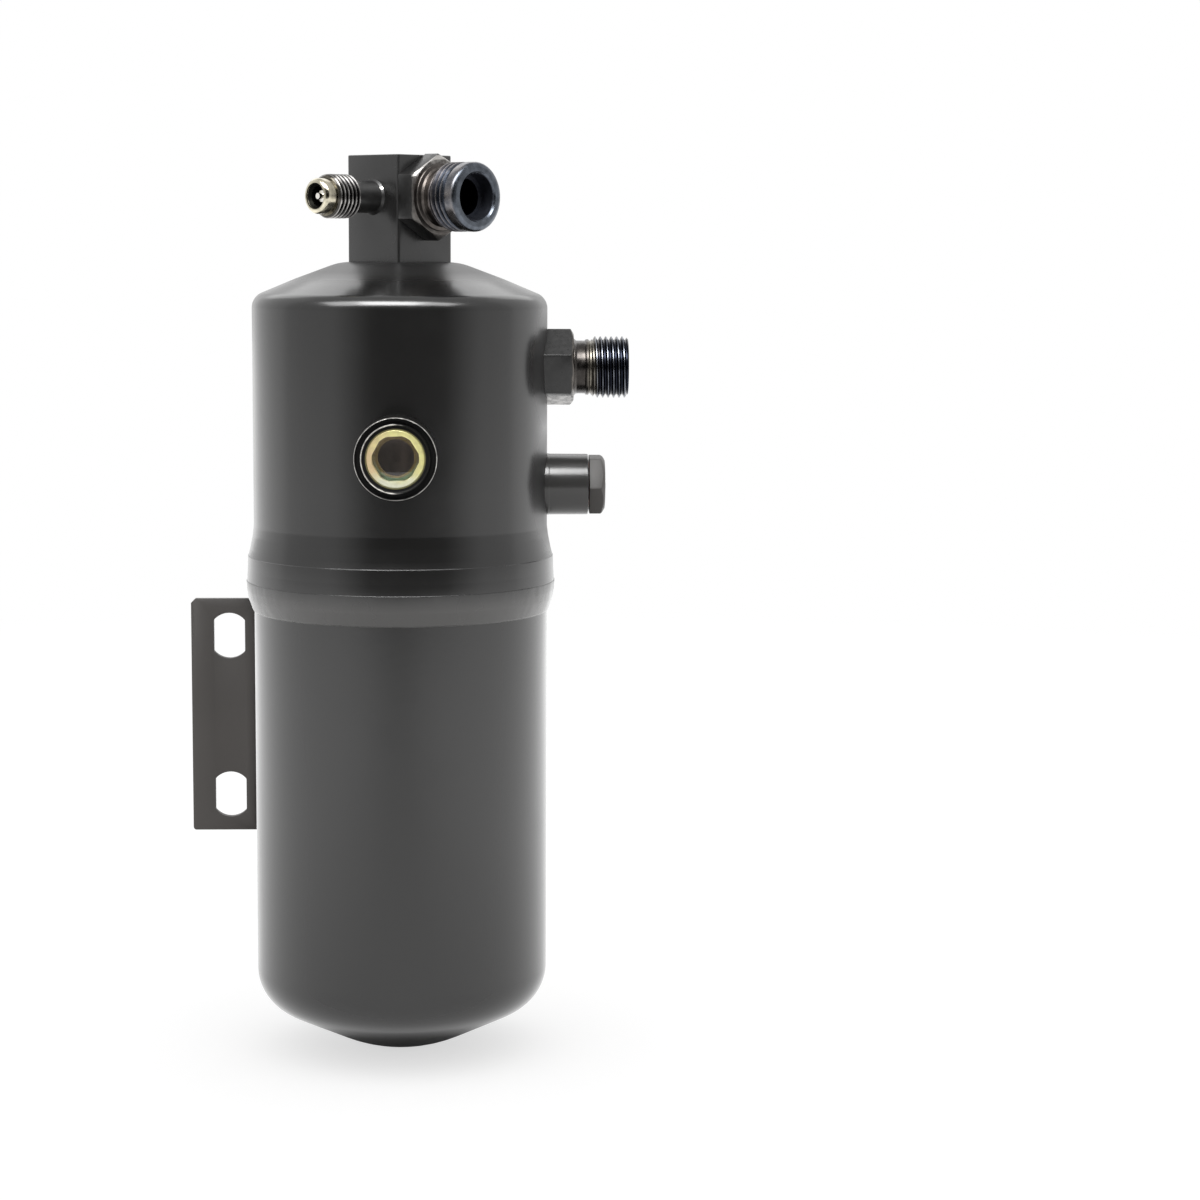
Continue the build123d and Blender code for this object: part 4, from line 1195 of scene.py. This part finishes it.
def floorMaterial():
    material = bpy.data.materials.new("floor")
    material.use_nodes = True
    tree = material.node_tree
    tree.nodes.clear()
    output = tree.nodes.new("ShaderNodeOutputMaterial")
    diffuse = tree.nodes.new("ShaderNodeBsdfDiffuse")
    diffuse.inputs["Color"].default_value = (studio["floorColour"],) * 3 + (1,)
    path = tree.nodes.new("ShaderNodeLightPath")
    coordinates = tree.nodes.new("ShaderNodeTexCoord")
    split = tree.nodes.new("ShaderNodeSeparateXYZ")
    tree.links.new(coordinates.outputs["Object"], split.inputs[0])
    reach = tree.nodes.new("ShaderNodeVectorMath")
    reach.operation = "LENGTH"
    tree.links.new(coordinates.outputs["Object"], reach.inputs[0])
    reach = reach.outputs["Value"]
    # white in the camera and in reflections; in reflections the floor also glows brighter to both sides, as painted
    # light, and goes dark where the vessel stands, as a painted contact shadow
    seen = mathNode(tree, "ADD", path.outputs["Is Camera Ray"], path.outputs["Is Transmission Ray"], clamp=True)
    sideways = mathNode(tree, "ABSOLUTE", split.outputs["X"])
    shine = mathNode(tree, "ADD", spread(tree, sideways, 0.05, 0.3, 0, studio["sideShine"]),
                     spread(tree, reach, 0.7, 1.3, studio["shine"], studio["farShine"]))
    # painted contact shadow: the glow seen in reflections fades to nothing near where the vessel stands
    shine = mathNode(tree, "MULTIPLY", shine, spread(tree, reach, studio["shineFrom"], studio["shineTo"], 0, 1))
    shine = mathNode(tree, "MULTIPLY", shine, path.outputs["Is Glossy Ray"])
    glow = tree.nodes.new("ShaderNodeEmission")
    strength = mathNode(tree, "ADD", shine, mathNode(tree, "MULTIPLY", seen, studio["floorGlow"]))
    tree.links.new(strength, glow.inputs["Strength"])
    both = tree.nodes.new("ShaderNodeAddShader")
    tree.links.new(diffuse.outputs[0], both.inputs[0])
    tree.links.new(glow.outputs[0], both.inputs[1])
    # further off the floor fades into the white behind it
    white = tree.nodes.new("ShaderNodeEmission")
    mix = tree.nodes.new("ShaderNodeMixShader")
    tree.links.new(mathNode(tree, "MULTIPLY", spread(tree, reach, 0.25, 0.9, 0, 1), seen), mix.inputs[0])
    tree.links.new(both.outputs[0], mix.inputs[1])
    tree.links.new(white.outputs[0], mix.inputs[2])
    tree.links.new(mix.outputs[0], output.inputs["Surface"])
    return material


def cardMaterial():
    # black in the middle, fading out towards both sides by the angle it is seen at from the vessel
    material, tree, shader, place = newMaterial("card black")
    tree.links.new(mixColour(tree, noise(tree, place, 6, 2), (0.003, 0.003, 0.003), (0.005, 0.005, 0.005)),
                   shader.inputs["Base Color"])
    shader.inputs["Roughness"].default_value = 1.0
    shader.inputs["Specular IOR Level"].default_value = 0.0
    split = tree.nodes.new("ShaderNodeSeparateXYZ")
    tree.links.new(place, split.inputs[0])
    side = mathNode(tree, "ARCTAN2", split.outputs["X"], studio["cardDistance"])
    side = mathNode(tree, "SUBTRACT", side, math.radians(studio["cardTurn"]))
    across = mathNode(tree, "ABSOLUTE", side)
    tree.links.new(spread(tree, across, math.radians(studio["cardDark"]), math.radians(studio["cardClear"]), 1, 0),
                   shader.inputs["Alpha"])
    return material


def makeStudio():
    deselectAll()
    bpy.ops.mesh.primitive_circle_add(vertices=96, radius=studio["floorRadius"], fill_type="NGON",
                                      location=(axisX, 0, floorZ))
    floor = bpy.context.object
    floor.name = "studioFloor"
    floor.data.materials.append(floorMaterial())
    deselectAll()
    bpy.ops.mesh.primitive_plane_add(size=1, location=(axisX, -studio["cardDistance"], floorZ + studio["cardHeight"] / 2),
                                     rotation=(math.pi / 2, 0, 0))
    card = bpy.context.object
    card.name = "darkCard"
    card.scale = (studio["cardWidth"], studio["cardHeight"], 1)
    bpy.ops.object.transform_apply(location=False, rotation=False, scale=True)
    card.data.materials.append(cardMaterial())
    card.visible_camera = False
    card.visible_diffuse = False
    card.visible_shadow = False
    card.visible_transmission = False


def makeLights():
    # the white world lights the surfaces, and the softboxes are only there for the gloss
    world = bpy.data.worlds.new("studio")
    bpy.context.scene.world = world
    world.use_nodes = True
    world.node_tree.nodes["Background"].inputs["Color"].default_value = (1, 1, 1, 1)
    middle = Vector((axisX, axisY, zeroZ))
    for name, (place, width, height, brightness) in lamps.items():
        data = bpy.data.lights.new(name, "AREA")
        data.shape = "RECTANGLE"
        data.size = width
        data.size_y = height
        data.energy = brightness * math.pi * width * height
        lamp = bpy.data.objects.new(name, data)
        bpy.context.scene.collection.objects.link(lamp)
        lamp.location = middle + Vector(place)
        level = name in ("leftBox", "rightBox")
        aim = middle - lamp.location
        if level:
            aim.z = 0
        lamp.rotation_euler = aim.to_track_quat("-Z", "Y").to_euler()
        lamp.visible_camera = False
        lamp.visible_diffuse = False


view = {
    "elevation": 7.0, "yaw": 2.387, "roll": -0.03, "place": (0.06468, -0.76600, 0.12425), "lens": 88.3, "sensor": 36.0,
}


def makeCamera():
    tilt = math.radians(view["elevation"])
    yaw = math.radians(view["yaw"])
    forwardStraight = Vector((0, math.cos(tilt), -math.sin(tilt)))
    up = Vector((0, math.sin(tilt), math.cos(tilt)))
    rightStraight = Vector((1, 0, 0))
    forward = math.cos(yaw) * forwardStraight + math.sin(yaw) * rightStraight
    rightward = math.cos(yaw) * rightStraight - math.sin(yaw) * forwardStraight
    data = bpy.data.cameras.new("photoCamera")
    data.lens = view["lens"]
    data.sensor_width = view["sensor"]
    camera = bpy.data.objects.new("photoCamera", data)
    bpy.context.scene.collection.objects.link(camera)
    turn = Matrix((rightward, up, -forward)).transposed()
    roll = Matrix.Rotation(math.radians(view["roll"]), 4, "Z")
    camera.matrix_world = Matrix.Translation(view["place"]) @ turn.to_4x4() @ roll
    bpy.context.scene.camera = camera


print("studio")
makeStudio()
makeLights()
makeCamera()
bpy.context.scene.view_settings.view_transform = "Standard"
